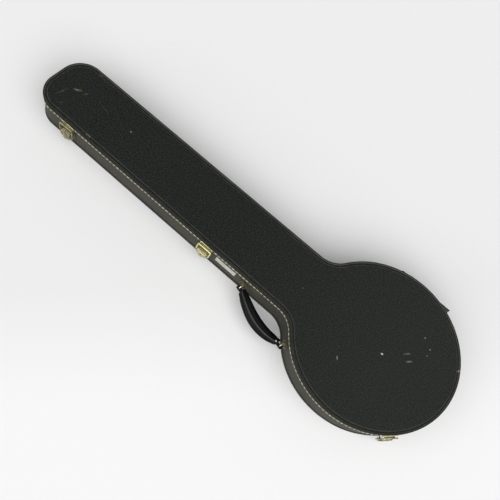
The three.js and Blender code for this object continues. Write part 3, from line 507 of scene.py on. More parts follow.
def wood_material():
    """Birch plywood edge, sanded and unvarnished: pale plies with fine open grain."""
    material, tree, place = start_material("sanded birch plywood")
    wave = {"Vector": place, "Scale": wave_scale(2.856), "Distortion": 1.2, "Detail": 3.0}
    plies = add(tree, "TexWave", wave, "Fac", bands_direction="Z")
    grain = add(tree, "TexNoise", sized(place, 2.632, 5, 0.7))
    colour = [
        "#b08d5c",
        (add(tree, "MapRange", (plies, 0.2, 0.8, 0, 0.6)), "#7d5b34"),
        (add(tree, "MapRange", (grain, 0.45, 0.7, 0, 0.4)), "#5d4224"),
    ]
    inputs = {
        "Specular IOR Level": 0.3,
        "Roughness": 0.7,
        "Base Color": colour,
        "Normal": [(grain, 0.2, 0.4)],
    }
    return shaded(material, inputs)


def slot_shadow_material():
    """Dirt and shadow in a screw's slot or a keyhole: flat black-brown."""
    material, tree, place = start_material("painted shade in a slot")
    grime = add(tree, "TexNoise", sized(place, 1.429, 3))
    colour = ["#0c0b09", (grime, "#241e14")]
    return shaded(material, {"Roughness": 0.9, "Specular IOR Level": 0.1, "Base Color": colour})


def floor_material():
    """Seamless paper sweep: matt, one paper laid behind a slightly whiter one."""
    material, tree, place = start_material("matt paper sweep")
    backward = (-0.665, 0.747, 0.0)
    away = add(tree, "VectorMath", (place, backward), "Value", operation="DOT_PRODUCT")
    behind = add(tree, "MapRange", (away, -0.09, 0.15))
    fibre = add(tree, "TexNoise", sized(place, 1.111, 2))
    inputs = {
        "Roughness": 0.95,
        "Specular IOR Level": 0.0,
        "Base Color": [colours().floor, (behind, "#ededed")],
        "Normal": [(fibre, 0.1, 0.05)],
    }
    return shaded(material, inputs)


MATERIALS = {}


def finish(name):
    """The material of a name in the table below, made once."""
    tone = colours()
    # The strike is painted dark as shade below this height above the parting line
    strike_shade_top = 12.6 * MM
    edge = sizes().body_height + strike_shade_top
    brasses = {
        "brass": ("lacquered bright brass", tone.brass, "#7d7234", 0.2, 0.2, 0.4),
        "old_brass": ("dulled stamped brass", tone.old_brass, tone.tarnish, 0.45, 0.32, 0.62),
        "lever_brass": ("hand-worn brass", "#bdb484", "#6f6538", 0.35, 0.28, 0.5),
        # The latches' base plates are painted dark as the shade between bail, lever and wall; the shelf's rivets
        # and the handle's brackets share that colour
        "worn_plate": ("brass painted dark as shade", "#5d5630", "#2b2712", 0.6, 0.4, 0.65),
        "inner_plate": ("brass plate worn to grey steel", "#c4bda0", "#8a8468", 0.4, 0.35, 0.6),
        "strike_brass": ("brass with painted shade below its lit edge", "#dcd8a4", "#39341a", 0.2, 0.3, 0.5, edge),
    }
    makers = {
        "lid": (lid_vinyl_material, "grained black vinyl"),
        "lid_edge": (lid_vinyl_material, "grained black vinyl, painted rim light and shade", RIM_LIGHT_AND_SHADE),
        "body": (body_vinyl_material,),
        "binding": (binding_material, "stitched vinyl binding", tone.binding, "#504e3c"),
        "bottom_binding": (binding_material, "bottom vinyl binding", "#262521", "#393830"),
        "thread": (thread_material,),
        "plush": (plush_material,),
        "lacquer": (lacquer_material,),
        "nickel": (nickel_material,),
        "leather": (leather_material,),
        "plate": (plate_material,),
        "wood": (wood_material,),
        "slot": (slot_shadow_material,),
        "floor": (floor_material,),
    }
    makers.update({key: (brass_material, *details) for key, details in brasses.items()})
    if name not in MATERIALS:
        make, *details = makers[name]
        MATERIALS[name] = make(*details)
    return MATERIALS[name]


# Surfaces worked out as whole arrays


def unit(vectors):
    return vectors / np.linalg.norm(vectors, axis=-1, keepdims=True)


def case_outline(pot_steps=200, fillet_steps=36, side_steps=70, corner_steps=44, flat_steps=4):
    """The case's plan: points, outward normals and running length, counter-clockwise from the tip.

    The pot is an ellipse (a cos t, b sin t). A hollow arc joins it to the neck's straight side: its
    centre lies one radius off the ellipse and one off the side, found by halving the angle. Each
    half ends in its own round corner, and a straight line that touches both corners closes the
    head: its normal n has (front - back) . n = back radius - front radius.
    """
    s = sizes()
    a, b = s.pot_half_length, s.pot_half_width
    head = np.array([-s.head_reach, s.neck_at_head])
    along = unit(np.array([-a, s.neck_at_pot]) - head)
    out = np.array([-along[1], along[0]])

    def ellipse(t):
        return np.stack([a * np.cos(t), b * np.sin(t)], -1)

    def facing(t):
        return unit(np.stack([np.cos(t) / a, np.sin(t) / b], -1))

    low, high = math.pi / 2, math.pi
    for _ in range(60):
        middle = (low + high) / 2
        centre = ellipse(middle) + s.fillet_radius * facing(middle)
        if (centre - head) @ out > s.fillet_radius:
            low = middle
        else:
            high = middle
    centre = ellipse(low) + s.fillet_radius * facing(low)

    def head_corner(reach, radius):
        line = head - out * radius
        return line + along * ((-reach + radius - line[0]) / along[0])

    def half(corner, radius, end_angle):
        t = np.linspace(0, low, pot_steps, endpoint=False)
        hollow = np.linspace(
            math.atan2(*(-facing(low))[::-1]) % (2 * math.pi),
            math.atan2(*(-out)[::-1]) % (2 * math.pi),
            fillet_steps,
        )
        spokes = np.stack([np.cos(hollow), np.sin(hollow)], -1)
        side_from = centre - out * s.fillet_radius
        side_to = corner + out * radius
        share = np.linspace(0, 1, side_steps + 1, endpoint=False)[1:, None]
        turn = np.linspace(math.atan2(out[1], out[0]), end_angle, corner_steps)
        rays = np.stack([np.cos(turn), np.sin(turn)], -1)
        side = side_from + (side_to - side_from) * share
        points = [ellipse(t), centre + s.fillet_radius * spokes, side, corner + radius * rays]
        normals = [facing(t), -spokes, np.repeat(out[None], side_steps, 0), rays]
        return np.concatenate(points), np.concatenate(normals)

    mirror = np.array([1, -1])
    back_corner = head_corner(s.head_reach, s.head_radius)
    front_corner = head_corner(s.head_front_reach, s.head_front_radius)
    between = front_corner * mirror - back_corner
    lean = math.acos((s.head_radius - s.head_front_radius) / np.linalg.norm(between))
    end = math.atan2(between[1], between[0]) - lean + 2 * math.pi
    back, back_out = half(back_corner, s.head_radius, end)
    front, front_out = half(front_corner, s.head_front_radius, 2 * math.pi - end)
    front, front_out = front[:0:-1] * mirror, front_out[:0:-1] * mirror
    share = np.linspace(0, 1, flat_steps + 1, endpoint=False)[1:, None]
    flat = back[-1] * (1 - share) + front[0] * share
    flat_out = np.repeat(back_out[-1:], flat_steps, 0)
    at = np.concatenate([back, flat, front])
    normal = np.concatenate([back_out, flat_out, front_out])
    return at, normal, lengths(np.concatenate([at, at[:1]]))


OUTLINE = {}


def plan():
    """The outline, worked out once."""
    if not OUTLINE:
        OUTLINE["plan"] = case_outline()
    return OUTLINE["plan"]


def carried(profile):
    """A profile of (outward offset, height) in millimetres, carried round the case: point +
    normal x offset."""
    at, normal, _ = plan()
    profile = np.asarray(profile, float) * MM
    flat = at[:, None] + normal[:, None] * profile[None, :, :1]
    height = np.broadcast_to(profile[None, :, 1:], (len(at), len(profile), 1))
    return np.concatenate([flat, height], -1)


def arc(offset, height, out_radius, up_radius, start, end, steps):
    """Points of an elliptic arc, from angle start to end in degrees."""
    angle = np.radians(np.linspace(start, end, steps))
    return np.stack([offset + out_radius * np.cos(angle), height + up_radius * np.sin(angle)], -1)


def lengths(points):
    """Running length along a line of points, from 0."""
    return np.concatenate([[0], np.cumsum(np.linalg.norm(np.diff(points, axis=0), axis=1))])


def mesh_object(name, points, faces, uv=None, sharp=35):
    mesh = bpy.data.meshes.new(name)
    mesh.from_pydata(np.asarray(points, float).reshape(-1, 3).tolist(), [], faces)
    if uv is not None:
        layer = mesh.uv_layers.new(name="UVMap")
        layer.data.foreach_set("uv", np.asarray(uv, np.float32).ravel())
    mesh.polygons.foreach_set("use_smooth", np.ones(len(mesh.polygons), bool))
    mesh.set_sharp_from_angle(angle=math.radians(sharp))
    mesh.update()
    obj = bpy.data.objects.new(name, mesh)
    bpy.context.scene.collection.objects.link(obj)
    return obj


def quads(n, m, loop=False):
    """Faces of an n by m grid: i goes round, j goes along; they face out when i turns
    counter-clockwise about the way that j goes."""
    i, j = np.meshgrid(np.arange(n), np.arange(m if loop else m - 1), indexing="ij")
    i, j = i.ravel(), j.ravel()
    round_i, next_j = (i + 1) % n, (j + 1) % m
    corners = [i * m + j, round_i * m + j, round_i * m + next_j, i * m + next_j]
    return i, j, np.stack(corners, -1).tolist()


def end_caps(n, m):
    """The two end faces of an n by m grid, facing out."""
    return [list(range(0, n * m, m))[::-1], list(range(m - 1, n * m, m))]


def surface(name, grid, loop=False, run=None, sharp=35):
    """A grid of points made a surface, with its running lengths as UV. Unless it is a loop along
    its profile too, flat caps close both ends."""
    n, m = grid.shape[:2]
    i, j, faces = quads(n, m, loop)
    u = run if run is not None else lengths(np.concatenate([grid[:, 0], grid[:1, 0]]))
    v = lengths(np.concatenate([grid[0], grid[:1, 0]]))
    corner_u = np.stack([u[i], u[i + 1], u[i + 1], u[i]], -1)
    corner_v = np.stack([v[j], v[j], v[j + 1], v[j + 1]], -1)
    uv = np.stack([corner_u, corner_v], -1).reshape(-1, 2)
    caps = [] if loop else end_caps(n, m)
    uv = np.concatenate([uv, np.zeros((len(caps) * n, 2))])
    return mesh_object(name, grid, faces + caps, uv, sharp)


def place_piece(obj, finishes, body, node=None):
    """Gives a piece its finish or finishes and its body, and hides the solid that it stands for."""
    for name in [finishes] if isinstance(finishes, str) else finishes:
        obj.data.materials.append(finish(name))
    if node:
        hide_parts(node)
    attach(obj, body)
    return obj


def stand_in(obj, finishes, node):
    """Places a piece that stands for a solid, on that solid's own body."""
    return place_piece(obj, finishes, BODY_OF[node], node)


def band(name, grid, finishes, node, loop=True, sharp=35):
    """A piece that runs round the case and stands for a solid."""
    return stand_in(surface(name, grid, loop, plan()[2], sharp), finishes, node)


def softened(node, finishes, width, segments=2):
    """A merged copy of a solid, with its edges rounded by width in millimetres."""
    rounded_from, flat_within = 32, 1.5
    mesh = frame["nodes"][node].data.copy()
    mesh.name = "dressed_" + node
    mesh.materials.clear()
    work = bmesh.new()
    work.from_mesh(mesh)
    bmesh.ops.remove_doubles(work, verts=work.verts, dist=2e-6)
    bmesh.ops.dissolve_limit(
        work, angle_limit=math.radians(flat_within), verts=work.verts, edges=work.edges
    )
    work.to_mesh(mesh)
    work.free()
    mesh.polygons.foreach_set("use_smooth", np.ones(len(mesh.polygons), bool))
    obj = bpy.data.objects.new("dressed_" + node, mesh)
    bpy.context.scene.collection.objects.link(obj)
    bevel = obj.modifiers.new("rounded edges", "BEVEL")
    bevel.width = width * MM
    bevel.segments = segments
    bevel.limit_method = "ANGLE"
    bevel.angle_limit = math.radians(rounded_from)
    bevel.harden_normals = True
    return stand_in(obj, finishes, node)


def local_frame(origin, along, out):
    """Matrix from a fitting's own axes (along, out, up) to the shared frame."""
    x, y = Vector(along).normalized(), Vector(out).normalized()
    z = x.cross(y)
    return np.array([[x[k], y[k], z[k], origin[k]] for k in range(3)] + [[0, 0, 0, 1]], float)


def moved(points, matrix):
    """Points carried by a 4 x 4 matrix."""
    return np.asarray(points, float) @ matrix[:3, :3].T + matrix[:3, 3]


def spot(matrix, *place):
    """A place in millimetres on a fitting's own axes, in the shared frame."""
    return moved(np.array(place) * MM, matrix)


def slab(name, ring, inner, outer, matrix):
    """A flat piece: a ring of (along, up) points, from depth inner to outer, in millimetres."""
    layers = [np.insert(np.asarray(ring, float), 1, depth, axis=1) for depth in (outer, inner)]
    return surface(name, moved(np.stack(layers, 1) * MM, matrix), sharp=40)


def pile_waves(at):
    """How slack the plush lies, 0 to 1: half plus a quarter of two sines, one 83 mm long in x and
    bent by 1.4 of a sine 110 mm long in y, and one of 0.4 x + y over 57 mm, 1.3 further on."""
    x, y = at[..., 0] / MM, at[..., 1] / MM
    turn = 2 * math.pi
    first = np.sin(turn * x / 83 + 1.4 * np.sin(turn * y / 110))
    second = np.sin(turn * (0.4 * x + y) / 57 + 1.3)
    return 0.5 + 0.25 * (first + second)


def pad_grid(edge, crown, slack):
    """A pad over the whole plan, in millimetres. Its edge profile is carried round the case; from
    inset inside the outline each point moves straight to the spine of the plan, while the height
    rises from the edge's to the crown as 1 - exp(-distance / rise) and sinks by slack times the
    waves, which begin as 1 - exp(-distance / settle)."""
    inset, rise, settle = 9 * MM, 9 * MM, 14 * MM
    spine_from, spine_to = -800 * MM, 20 * MM
    at, normal, _ = plan()
    border = carried(edge)
    start = at - normal * inset
    spine = np.stack([np.clip(start[:, 0], spine_from, spine_to), np.zeros(len(at))], -1)
    share = 1 - (1 - np.linspace(0.004, 0.93, 26)) ** 1.6
    inside = start[:, None] + (spine - start)[:, None] * share[None, :, None]
    away = np.linalg.norm(inside - start[:, None], axis=-1)
    low = border[0, -1, 2]
    swell = (crown * MM - low) * (1 - np.exp(-away / rise))
    sunk = slack * MM * pile_waves(inside) * (1 - np.exp(-away / settle))
    height = np.maximum(low + swell - sunk, low)
    return np.concatenate([border, np.concatenate([inside, height[..., None]], -1)], 1)


def screws(name, places, radius, body, metal):
    """Slotted dome heads, all of one fitting in one mesh. A head is rings of (share of the radius,
    share of the height) turned about its axis; a thin dark bar across it, painted as shade, is the
    slot. places are (point, outward, turn in degrees); radius is in millimetres."""
    rings = np.array([[1.0, -0.5], [1.0, 0.0], [0.97, 0.34], [0.8, 0.66], [0.5, 0.9], [0.06, 1.0]])
    spokes = 20
    radius *= MM
    height = radius * 0.42
    angle = np.linspace(0, 2 * math.pi, spokes, endpoint=False)[:, None]
    across = radius * rings[:, 0]
    up = np.broadcast_to(height * rings[:, 1], (spokes, len(rings)))
    head = np.stack([across * np.cos(angle), across * np.sin(angle), up], -1).reshape(-1, 3)
    head_faces = quads(spokes, len(rings))[2] + end_caps(spokes, len(rings))
    half = np.array([radius * 0.82, radius * 0.13, height * 0.22])
    bar = np.array([[x, y, z] for x in (-1, 1) for y in (-1, 1) for z in (-1, 1)]) * half
    bar[:, 2] += height * 0.86
    bar_faces = [[0, 1, 3, 2], [4, 6, 7, 5], [0, 4, 5, 1], [2, 3, 7, 6], [0, 2, 6, 4], [1, 5, 7, 3]]
    points, faces, kinds = [], [], []
    for point, outward, turn in places:
        out = Vector(outward).normalized()
        side = out.orthogonal().normalized()
        basis = np.array(Matrix([side, out.cross(side), out]).transposed())
        spin = np.array(Matrix.Rotation(math.radians(turn), 3, "Z"))
        for kind, (shape, shape_faces) in enumerate(((head, head_faces), (bar, bar_faces))):
            base = sum(len(done) for done in points)
            points.append(shape @ spin.T @ basis.T + np.array(point))
            faces += [[index + base for index in face] for face in shape_faces]
            kinds += [kind] * len(shape_faces)
    obj = mesh_object(name, np.concatenate(points), faces)
    obj.data.polygons.foreach_set("material_index", np.array(kinds, np.int32))
    return place_piece(obj, [metal, "slot"], body)


# Operators, one for each piece or group of like pieces


class CASE_OT_body_shell(bpy.types.Operator):
    """Builds the body's floor, wall, bottom binding and tongue"""

    bl_idname = "banjo_case.body_shell"
    bl_label = "Body shell"

    def execute(self, context):
        top = sizes().body_height / MM
        face, wall_inner, tongue_outer, tongue_inner = -1.8, -6.0, -6.5, -8.5
        floor = [
            [-9.0, 0.0],
            [-3.0, 0.0],
            *arc(-3.0, 1.2, 1.2, 1.2, -90, 0, 5)[1:],
            [face, 5.0],
            [-2.0, 5.0],
        ]
        band("case_floor", carried(floor), "body", "body_floor_panel", loop=False)
        # The wall's covering turns in over the top edge
        wall = [
            [wall_inner, 5.3],
            [face, 5.3],
            [face, 30],
            [face, 55],
            *arc(-2.9, top - 1.1, 1.1, 1.1, 0, 90, 5),
            [wall_inner, top],
            [wall_inner, 40],
        ]
        band("case_wall", carried(wall), "body", "body_wall_band")
        binding = [
            [-1.5, 0.5],
            *arc(-0.9, 1.1, 0.6, 0.6, -90, 0, 4),
            *arc(-0.9, 7.4, 0.6, 0.6, 0, 90, 4),
            [-1.5, 8.0],
        ]
        band("bottom_binding", carried(binding), "bottom_binding", "body_bottom_binding")
        tongue = [
            [tongue_inner, top - 6],
            [tongue_outer, top - 6],
            [tongue_outer, top + 4.3],
            *arc(-7.5, top + 4.5, 1.0, 1.0, 10, 170, 7),
            [tongue_inner, top + 4.3],
        ]
        band("locating_tongue", carried(tongue), "wood", "body_tongue")
        return {"FINISHED"}


class CASE_OT_lid_shell(bpy.types.Operator):
    """Builds the lid's top with its rolled rim, its wall and its stitched binding"""

    bl_idname = "banjo_case.lid_shell"
    bl_label = "Lid shell"

    def execute(self, context):
        s = sizes()
        low = s.body_height / MM
        top = low + s.lid_depth / MM
        under = top - 4.2
        face, wall_inner = -1.8, -6.0
        # Rolled rim, groove, raised field with a soft edge, then a slight crown towards the middle
        profile = [
            [-9.0, under],
            [face, under],
            *arc(-1.7, under + 2.1, 1.7, 2.1, -60, 150, 13),
            *arc(-5.3, top - 0.75, 2.2, 1.15, 195, 345, 9)[::-1],
            *arc(-9.1, top - 1.4, 1.0, 1.0, 10, 90, 5),
            [-10.5, top - 0.33],
            [-16.0, top - 0.24],
            [-26.0, top - 0.14],
            [-40.0, top - 0.08],
        ]
        band("lid_top", carried(profile), "lid_edge", "lid_top_panel", loop=False, sharp=60)
        wall = [
            [wall_inner, low + 0.3],
            *arc(-2.6, low + 1.1, 0.8, 0.8, -90, 0, 4),
            [face, under - 0.3],
            [wall_inner, under - 0.3],
        ]
        band("lid_wall", carried(wall), "lid", "lid_wall_band")
        bottom, height, turn = low + 1.2, 12.0, 0.65
        binding = [
            [-1.5, bottom],
            *arc(-0.95, bottom + turn, turn, turn, -90, 0, 4),
            [-0.42, bottom + height / 2],
            *arc(-0.95, bottom + height - turn, turn, turn, 0, 90, 4),
            [-1.5, bottom + height],
        ]
        band("stitched_binding", carried(binding), "binding", "lid_stitched_binding")
        return {"FINISHED"}


class CASE_OT_stitches(bpy.types.Operator):
    """Sews the row of thread round the lid's binding"""

    bl_idname = "banjo_case.stitches"
    bl_label = "Stitches"

    def execute(self, context):
        s = sizes()
        seam_offset, seam_height = -0.32 * MM, 10.3 * MM
        at, normal, run = plan()
        count = int(run[-1] / s.stitch_pitch)
        middle = (np.arange(count) + 0.5) * run[-1] / count
        # A stitch is a rod along the seam with rounded ends, sunk by half into the strip
        stations = np.array([-0.5, -0.46, -0.3, 0.0, 0.3, 0.46, 0.5])
        swell = np.array([0.15, 0.6, 0.95, 1.0, 0.95, 0.6, 0.15])
        rows, spokes = len(stations), 8
        angle = np.linspace(0, 2 * math.pi, spokes, endpoint=False)[None, :, None]
        where = middle[:, None] + stations * s.stitch_length
        path = np.concatenate([np.column_stack([at, normal]), [[*at[0], *normal[0]]]])
        px, py, nx, ny = (np.interp(where, run, line)[:, None, :] for line in path.T)
        radius = swell * s.stitch_width / 2
        off = seam_offset + np.cos(angle) * radius
        height = s.body_height + seam_height + np.sin(angle) * radius
        height = np.broadcast_to(height, (count, spokes, rows))
        grid = np.stack([px + nx * off, py + ny * off, height], -1)
        one = [face[::-1] for face in quads(spokes, rows)[2] + end_caps(spokes, rows)]
        faces = [[v + spokes * rows * n for v in face] for n in range(count) for face in one]
        obj = mesh_object("binding_stitches", grid, faces, sharp=80)
        place_piece(obj, "thread", "lid")
        return {"FINISHED"}


class CASE_OT_linings(bpy.types.Operator):
    """Lines the case with plush: floor, walls, lid pad and the notched boards"""

    bl_idname = "banjo_case.linings"
    bl_label = "Plush linings"

    def execute(self, context):
        s = sizes()
        top = s.body_height / MM
        lid_top_thickness, seat_gap, smooth = 4.2, 0.3, 180
        lid_under = top + s.lid_depth / MM - lid_top_thickness - seat_gap
        # Each pad is glued down at its edge; most of its rise is within 30 mm of the outline
        edge = [[-9.0, 5.3], [-6.5, 5.3], *arc(-7.6, 6.6, 1.2, 1.3, -60, 80, 6)]
        grid = pad_grid(edge, 9.25, 0.8)
        pad = band("floor_plush", grid, "plush", "body_floor_lining", loop=False, sharp=smooth)
        # The wall's plush gives way by up to this much between its glued edges
        most = 0.9 * MM
        outer, inner, wall_low, wall_rise = -6.3, -9.3, 9.6, 58
        profile = [
            [outer, wall_low],
            [outer, top - 6.5],
            *arc(-7.8, top - 8.0, 1.5, 1.6, 80, 180, 6),
            [inner, 52],
            [inner, 40],
            [inner, 26],
            *arc(-8.0, 11.0, 1.3, 1.4, 180, 260, 5),
        ]
        wall = carried(profile[::-1])
        at, normal, run = plan()
        share_up = np.clip((wall[..., 2] / MM - wall_low) / wall_rise, 0, 1)
        facing_in = np.einsum("ijk,ik->ij", wall[..., :2] - at[:, None], normal) < -8.5 * MM
        unrolled = np.stack(np.broadcast_arrays(run[:-1, None], wall[..., 2]), -1)
        give = most * np.sin(math.pi * share_up) * facing_in * pile_waves(unrolled)
        wall[..., :2] += normal[:, None] * give[..., None]
        lining = band("wall_plush", wall, "plush", "body_wall_lining", sharp=smooth)
        # The lid's pad is the same form hung upside down, 5 mm thick
        edge = [[-9.0, 0.0], *arc(-7.7, 1.5, 1.3, 1.4, -70, 80, 7)]
        hung = pad_grid(edge, 4.95, 0.9)[:, ::-1]
        hung[..., 2] = lid_under * MM - hung[..., 2]
        cover = band("lid_plush_pad", hung, "plush", "lid_pad", loop=False, sharp=smooth)
        profile = [
            [-8.4, top + 7.0],
            *arc(-7.3, top + 7.2, 1.0, 1.1, 200, 350, 6),
            [-6.3, lid_under - 5.4],
            [-8.5, lid_under - 5.4],
        ]
        strip = band("lid_wall_plush", carried(profile), "plush", "lid_wall_lining", sharp=smooth)
        for node in ("neck_rest", "well_wall_pot_end", "well_wall_head_end"):
            softened(node, "plush", 1.8, 4)
        return {"FINISHED"}


class CASE_OT_hinges(bpy.types.Operator):
    """Dresses both hinges: blocks, leaves, pins and their screws"""

    bl_idname = "banjo_case.hinges"
    bl_label = "Hinges"

    def execute(self, context):
        leaf_thickness, from_end, screw_radius = 1.4 * MM, 3.6 * MM, 1.5
        screw_turns = ((-8.5 * MM, 20), (8.5 * MM, -35))
        for side in ("head_side", "tip_side"):
            for piece, width in (
                ("body_block", 0.5),
                ("lid_block", 0.5),
                ("body_leaf", 0.2),
                ("lid_leaf", 0.2),
            ):
                softened(f"hinge_{side}_{piece}", "lacquer", width)
            softened(f"hinge_{side}_pin", "nickel", 0.25)
            for half, body, sign in (("body", "case_body", -1), ("lid", "lid", 1)):
                low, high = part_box(f"hinge_{side}_{half}_leaf")
                middle = (low[0] + high[0]) / 2
                height = (low[2] if sign < 0 else high[2]) - sign * from_end
                places = [
                    ((middle + dx, low[1] + leaf_thickness, height), (0, 1, 0), turn)
                    for dx, turn in screw_turns
                ]
                name = f"hinge_{side}_{half}_screws"
                screws(name, places, screw_radius, body, "nickel")
        return {"FINISHED"}


class CASE_OT_latches(bpy.types.Operator):
    """Dresses the three draw latches with rounded stampings, screws and a lock"""

    bl_idname = "banjo_case.latches"
    bl_label = "Draw latches"

    def execute(self, context):
        # Heights are from the parting line, depths from the wall's face, all in millimetres
        top = sizes().body_height / MM
        pivot_depth, turn_step = 9.1, 35
        shelf_top, shelf_half, corner = top - 16.8, 8.7, 0.5
        shelf_back, shelf_front = 5.5, 11.2
        shelf_corners = ((1, 0.5, 0), (-1, 0.5, 90), (-1, 0.7, 180), (1, 0.7, 270))
        rivet_radius, rivet_depth, rivet_spacing = 1.0, 8.2, 5.5
        key_radius, key_centre, slot_half, slot_end = 1.9, top - 29.6, 0.9, top - 35.0
        key_back, key_front = 12.4, 13.35
        screw_radius = 1.7
        screw_rows = (
            ("base", "case_body", 1.5, 16.2, top - 26.5),
            ("strike", "lid", 3.0, 14.3, top + 8.2),
        )
        for place, metal, lever_metal in (
            ("head", "old_brass", "old_brass"),
            ("neck", "brass", "lever_brass"),
            ("pot", "old_brass", "old_brass"),
        ):
            joint = JOINTS[f"{place}_latch_lever_hinge"]
            along = Vector(joint["axis"])
            out = Vector((0, 0, 1)).cross(along)
            face = Vector(joint["pos_m"]) - out * pivot_depth * MM
            face.z = 0
            matrix = local_frame(face, along, out)
            # The base plates' dark colour is painted shade round the bail and lever
            for part, look, width, segments in (
                ("base", "worn_plate", 0.3, 2),
                ("pin", metal, 0.3, 2),
                ("lever", lever_metal, 0.35, 2),
                ("bail", metal, 0.45, 3),
                ("strike", "strike_brass", 0.4, 2),
            ):
                softened(f"{place}_latch_{part}", look, width, segments)
            # The lever's riveted shelf runs back over its pin and shows between the bail's bars
            lever = f"{place}_lever"
            ring = [
                arc(side * shelf_half, shelf_top - drop, corner, corner, start, start + 90, 4)
                for side, drop, start in shelf_corners
            ]
            name = f"{place}_latch_shelf"
            shelf = slab(name, np.concatenate(ring), shelf_back, shelf_front, matrix)
            place_piece(shelf, "inner_plate", lever)
            rivets = [
                (spot(matrix, x, rivet_depth, shelf_top), (0, 0, 1), turn_step * x)
                for x in (-rivet_spacing, 0, rivet_spacing)
            ]
            screws(f"{place}_latch_rivets", rivets, rivet_radius, lever, "worn_plate")
            for part, body, depth, half, height in screw_rows:
                places = [
                    (spot(matrix, x, depth, height), out, turn_step * x)
                    for x in (-half, half)
                ]
                screws(f"{place}_latch_{part}_screws", places, screw_radius, body, metal)
            if place == "neck":
                # The keyhole is a disc with a slot below it, painted dark as the hole's shade up to the lock's
                # face
                disc = arc(0.0, key_centre, key_radius, key_radius, -62, 242, 18)
                ring = [*disc, [-slot_half, slot_end], [slot_half, slot_end]]
                hole = slab("neck_latch_keyhole", ring, key_back, key_front, matrix)
                place_piece(hole, "slot", lever)
        return {"FINISHED"}


class CASE_OT_front_plate(bpy.types.Operator):
    """Builds the bare plate beside the neck latch, with its two rivets"""

    bl_idname = "banjo_case.front_plate"
    bl_label = "Front plate"

    def execute(self, context):
        rivet_reach, plate_half_depth, rivet_radius = 24.2 * MM, 0.35 * MM, 0.9
        softened("front_plate", "plate", 0.25, 3)
        low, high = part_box("front_plate")
        along = Vector(JOINTS["neck_latch_lever_hinge"]["axis"])
        out = Vector((0, 0, 1)).cross(along)
        face = (Vector(low) + Vector(high)) / 2 + out * plate_half_depth
        places = [(face + along * reach, out, 0) for reach in (-rivet_reach, rivet_reach)]
        screws("front_plate_rivets", places, rivet_radius, "case_body", "nickel")
        return {"FINISHED"}


def grip_grid(span):
    """The grip along the handle's own axes: an oval section with pressed ridges along its top and
    bottom, bowed as the sine of its share of the way to the power 0.87 and swelling as the square
    root of a sine. A bell in the angle narrows its seam, and bells near both ends are the creases
    where the leather narrows to its tabs."""
    s = sizes()

    def bell(value, centre, width):
        return np.exp(-(((value - centre) / width) ** 2))

    share = (1 - np.cos(np.linspace(0, math.pi, 97))) / 2
    angle = np.linspace(0, 2 * math.pi, 72, endpoint=False)
    swell = 0.55 + 0.45 * np.sin(math.pi * share) ** 0.5
    ridge = 1 + 0.11 * bell(np.sin(angle + 0.25) ** 2, 1, 0.06)
    seam = 1 - 0.03 * bell(angle, math.pi, 0.07)
    wide = s.grip_width * swell[None, :] * (np.cos(angle) * seam)[:, None]
    tall = s.grip_thickness * swell[None, :] * (np.sin(angle) * ridge * seam)[:, None]
    puckers = 1 - 0.05 * (bell(share, 0.06, 0.03) + bell(share, 0.94, 0.03))
    middle_line = s.grip_end_out + s.grip_bow * np.sin(math.pi * share**0.87)
    run = np.broadcast_to(s.grip_inset + (span - 2 * s.grip_inset) * share, wide.shape)
    return np.stack([run, middle_line[None, :] + wide * puckers, tall * puckers], -1)


def tab_grid(ring_outer, x, sign):
    """A squared leather end round the outer side of a ring, its corners turned in arcs, as layers
    of one plan scaled about its middle."""
    end, root, corner = -6 * MM, 11 * MM, 1.6 * MM
    low, high = ring_outer - 3.8 * MM, ring_outer + 3.2 * MM
    layers = ((0.86, -3.0), (0.96, -2.8), (1.0, -2.3), (1.0, 2.3), (0.96, 2.8), (0.86, 3.0))
    upper = arc(end + corner, high - corner, corner, corner, 90, 180, 7)
    lower = arc(end + corner, low + corner, corner, corner, 180, 270, 7)
    line = np.concatenate([[[root, high]], upper, lower, [[root, low]]]) * [sign, 1] + [x, 0]
    line = line[::sign]
    centre = line.mean(0)
    rows = [
        np.column_stack([centre + (line - centre) * scale, np.full(len(line), z * MM)])
        for scale, z in layers
    ]
    return np.stack(rows, 1)


def ring_grid(ring_out, x):
    """A torus across the handle's line, as a grid of its tube by its way round."""
    s = sizes()
    tube = np.linspace(0, 2 * math.pi, 20, endpoint=False)[:, None]
    around = np.linspace(0, 2 * math.pi, 64, endpoint=False)[None, :]
    reach = s.ring_radius + s.ring_wire * np.cos(tube)
    run = np.broadcast_to(x + s.ring_wire * np.sin(tube), (tube.size, around.size))
    return np.stack([run, ring_out + reach * np.cos(around), reach * np.sin(around)], -1)


class CASE_OT_handle(bpy.types.Operator):
    """Builds the leather grip with its end loops, both rings and the wall brackets"""

    bl_idname = "banjo_case.handle"
    bl_label = "Handle"

    def execute(self, context):
        stud_along, stud_out, stud_height, stud_radius = 13, 6.6, 6.8, 1.6
        boxes = [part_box(node) for node in ("handle_ring_pot", "handle_ring_neck")]
        ring_at = [(Vector(low) + Vector(high)) / 2 for low, high in boxes]
        joint = JOINTS["handle_swing"]
        along = Vector(joint["axis"])
        out = Vector((0, 0, 1)).cross(along)
        span = (ring_at[1] - ring_at[0]).length
        pivot = Vector(joint["pos_m"]) - along * span / 2
        ring_out = (ring_at[0] - pivot).dot(out)
        matrix = local_frame(pivot, along, out)
        grip = surface("leather_grip", moved(grip_grid(span), matrix), sharp=180)
        stand_in(grip, "leather", "handle_grip")
        studs = [
            (spot(matrix, stud_along, stud_out, side * stud_height), (0, 0, side), 30)
            for side in (1, -1)
        ]
        screws("grip_studs", studs, stud_radius, "handle", "nickel")
        for name, x, sign in (("pot", 0.0, 1), ("neck", span, -1)):
            tab = tab_grid(ring_out + sizes().ring_radius, x, sign)
            loop = surface(f"grip_loop_{name}", moved(tab, matrix), sharp=50)
            place_piece(loop, "leather", "handle")
            torus = ring_grid(ring_out, x)
            faces = [face[::-1] for face in quads(*torus.shape[:2], True)[2]]
            wire = mesh_object(f"ring_{name}", moved(torus, matrix), faces, sharp=180)
            stand_in(wire, "nickel", f"handle_ring_{name}")
            softened(f"handle_bracket_{name}", "worn_plate", 0.3)
        return {"FINISHED"}


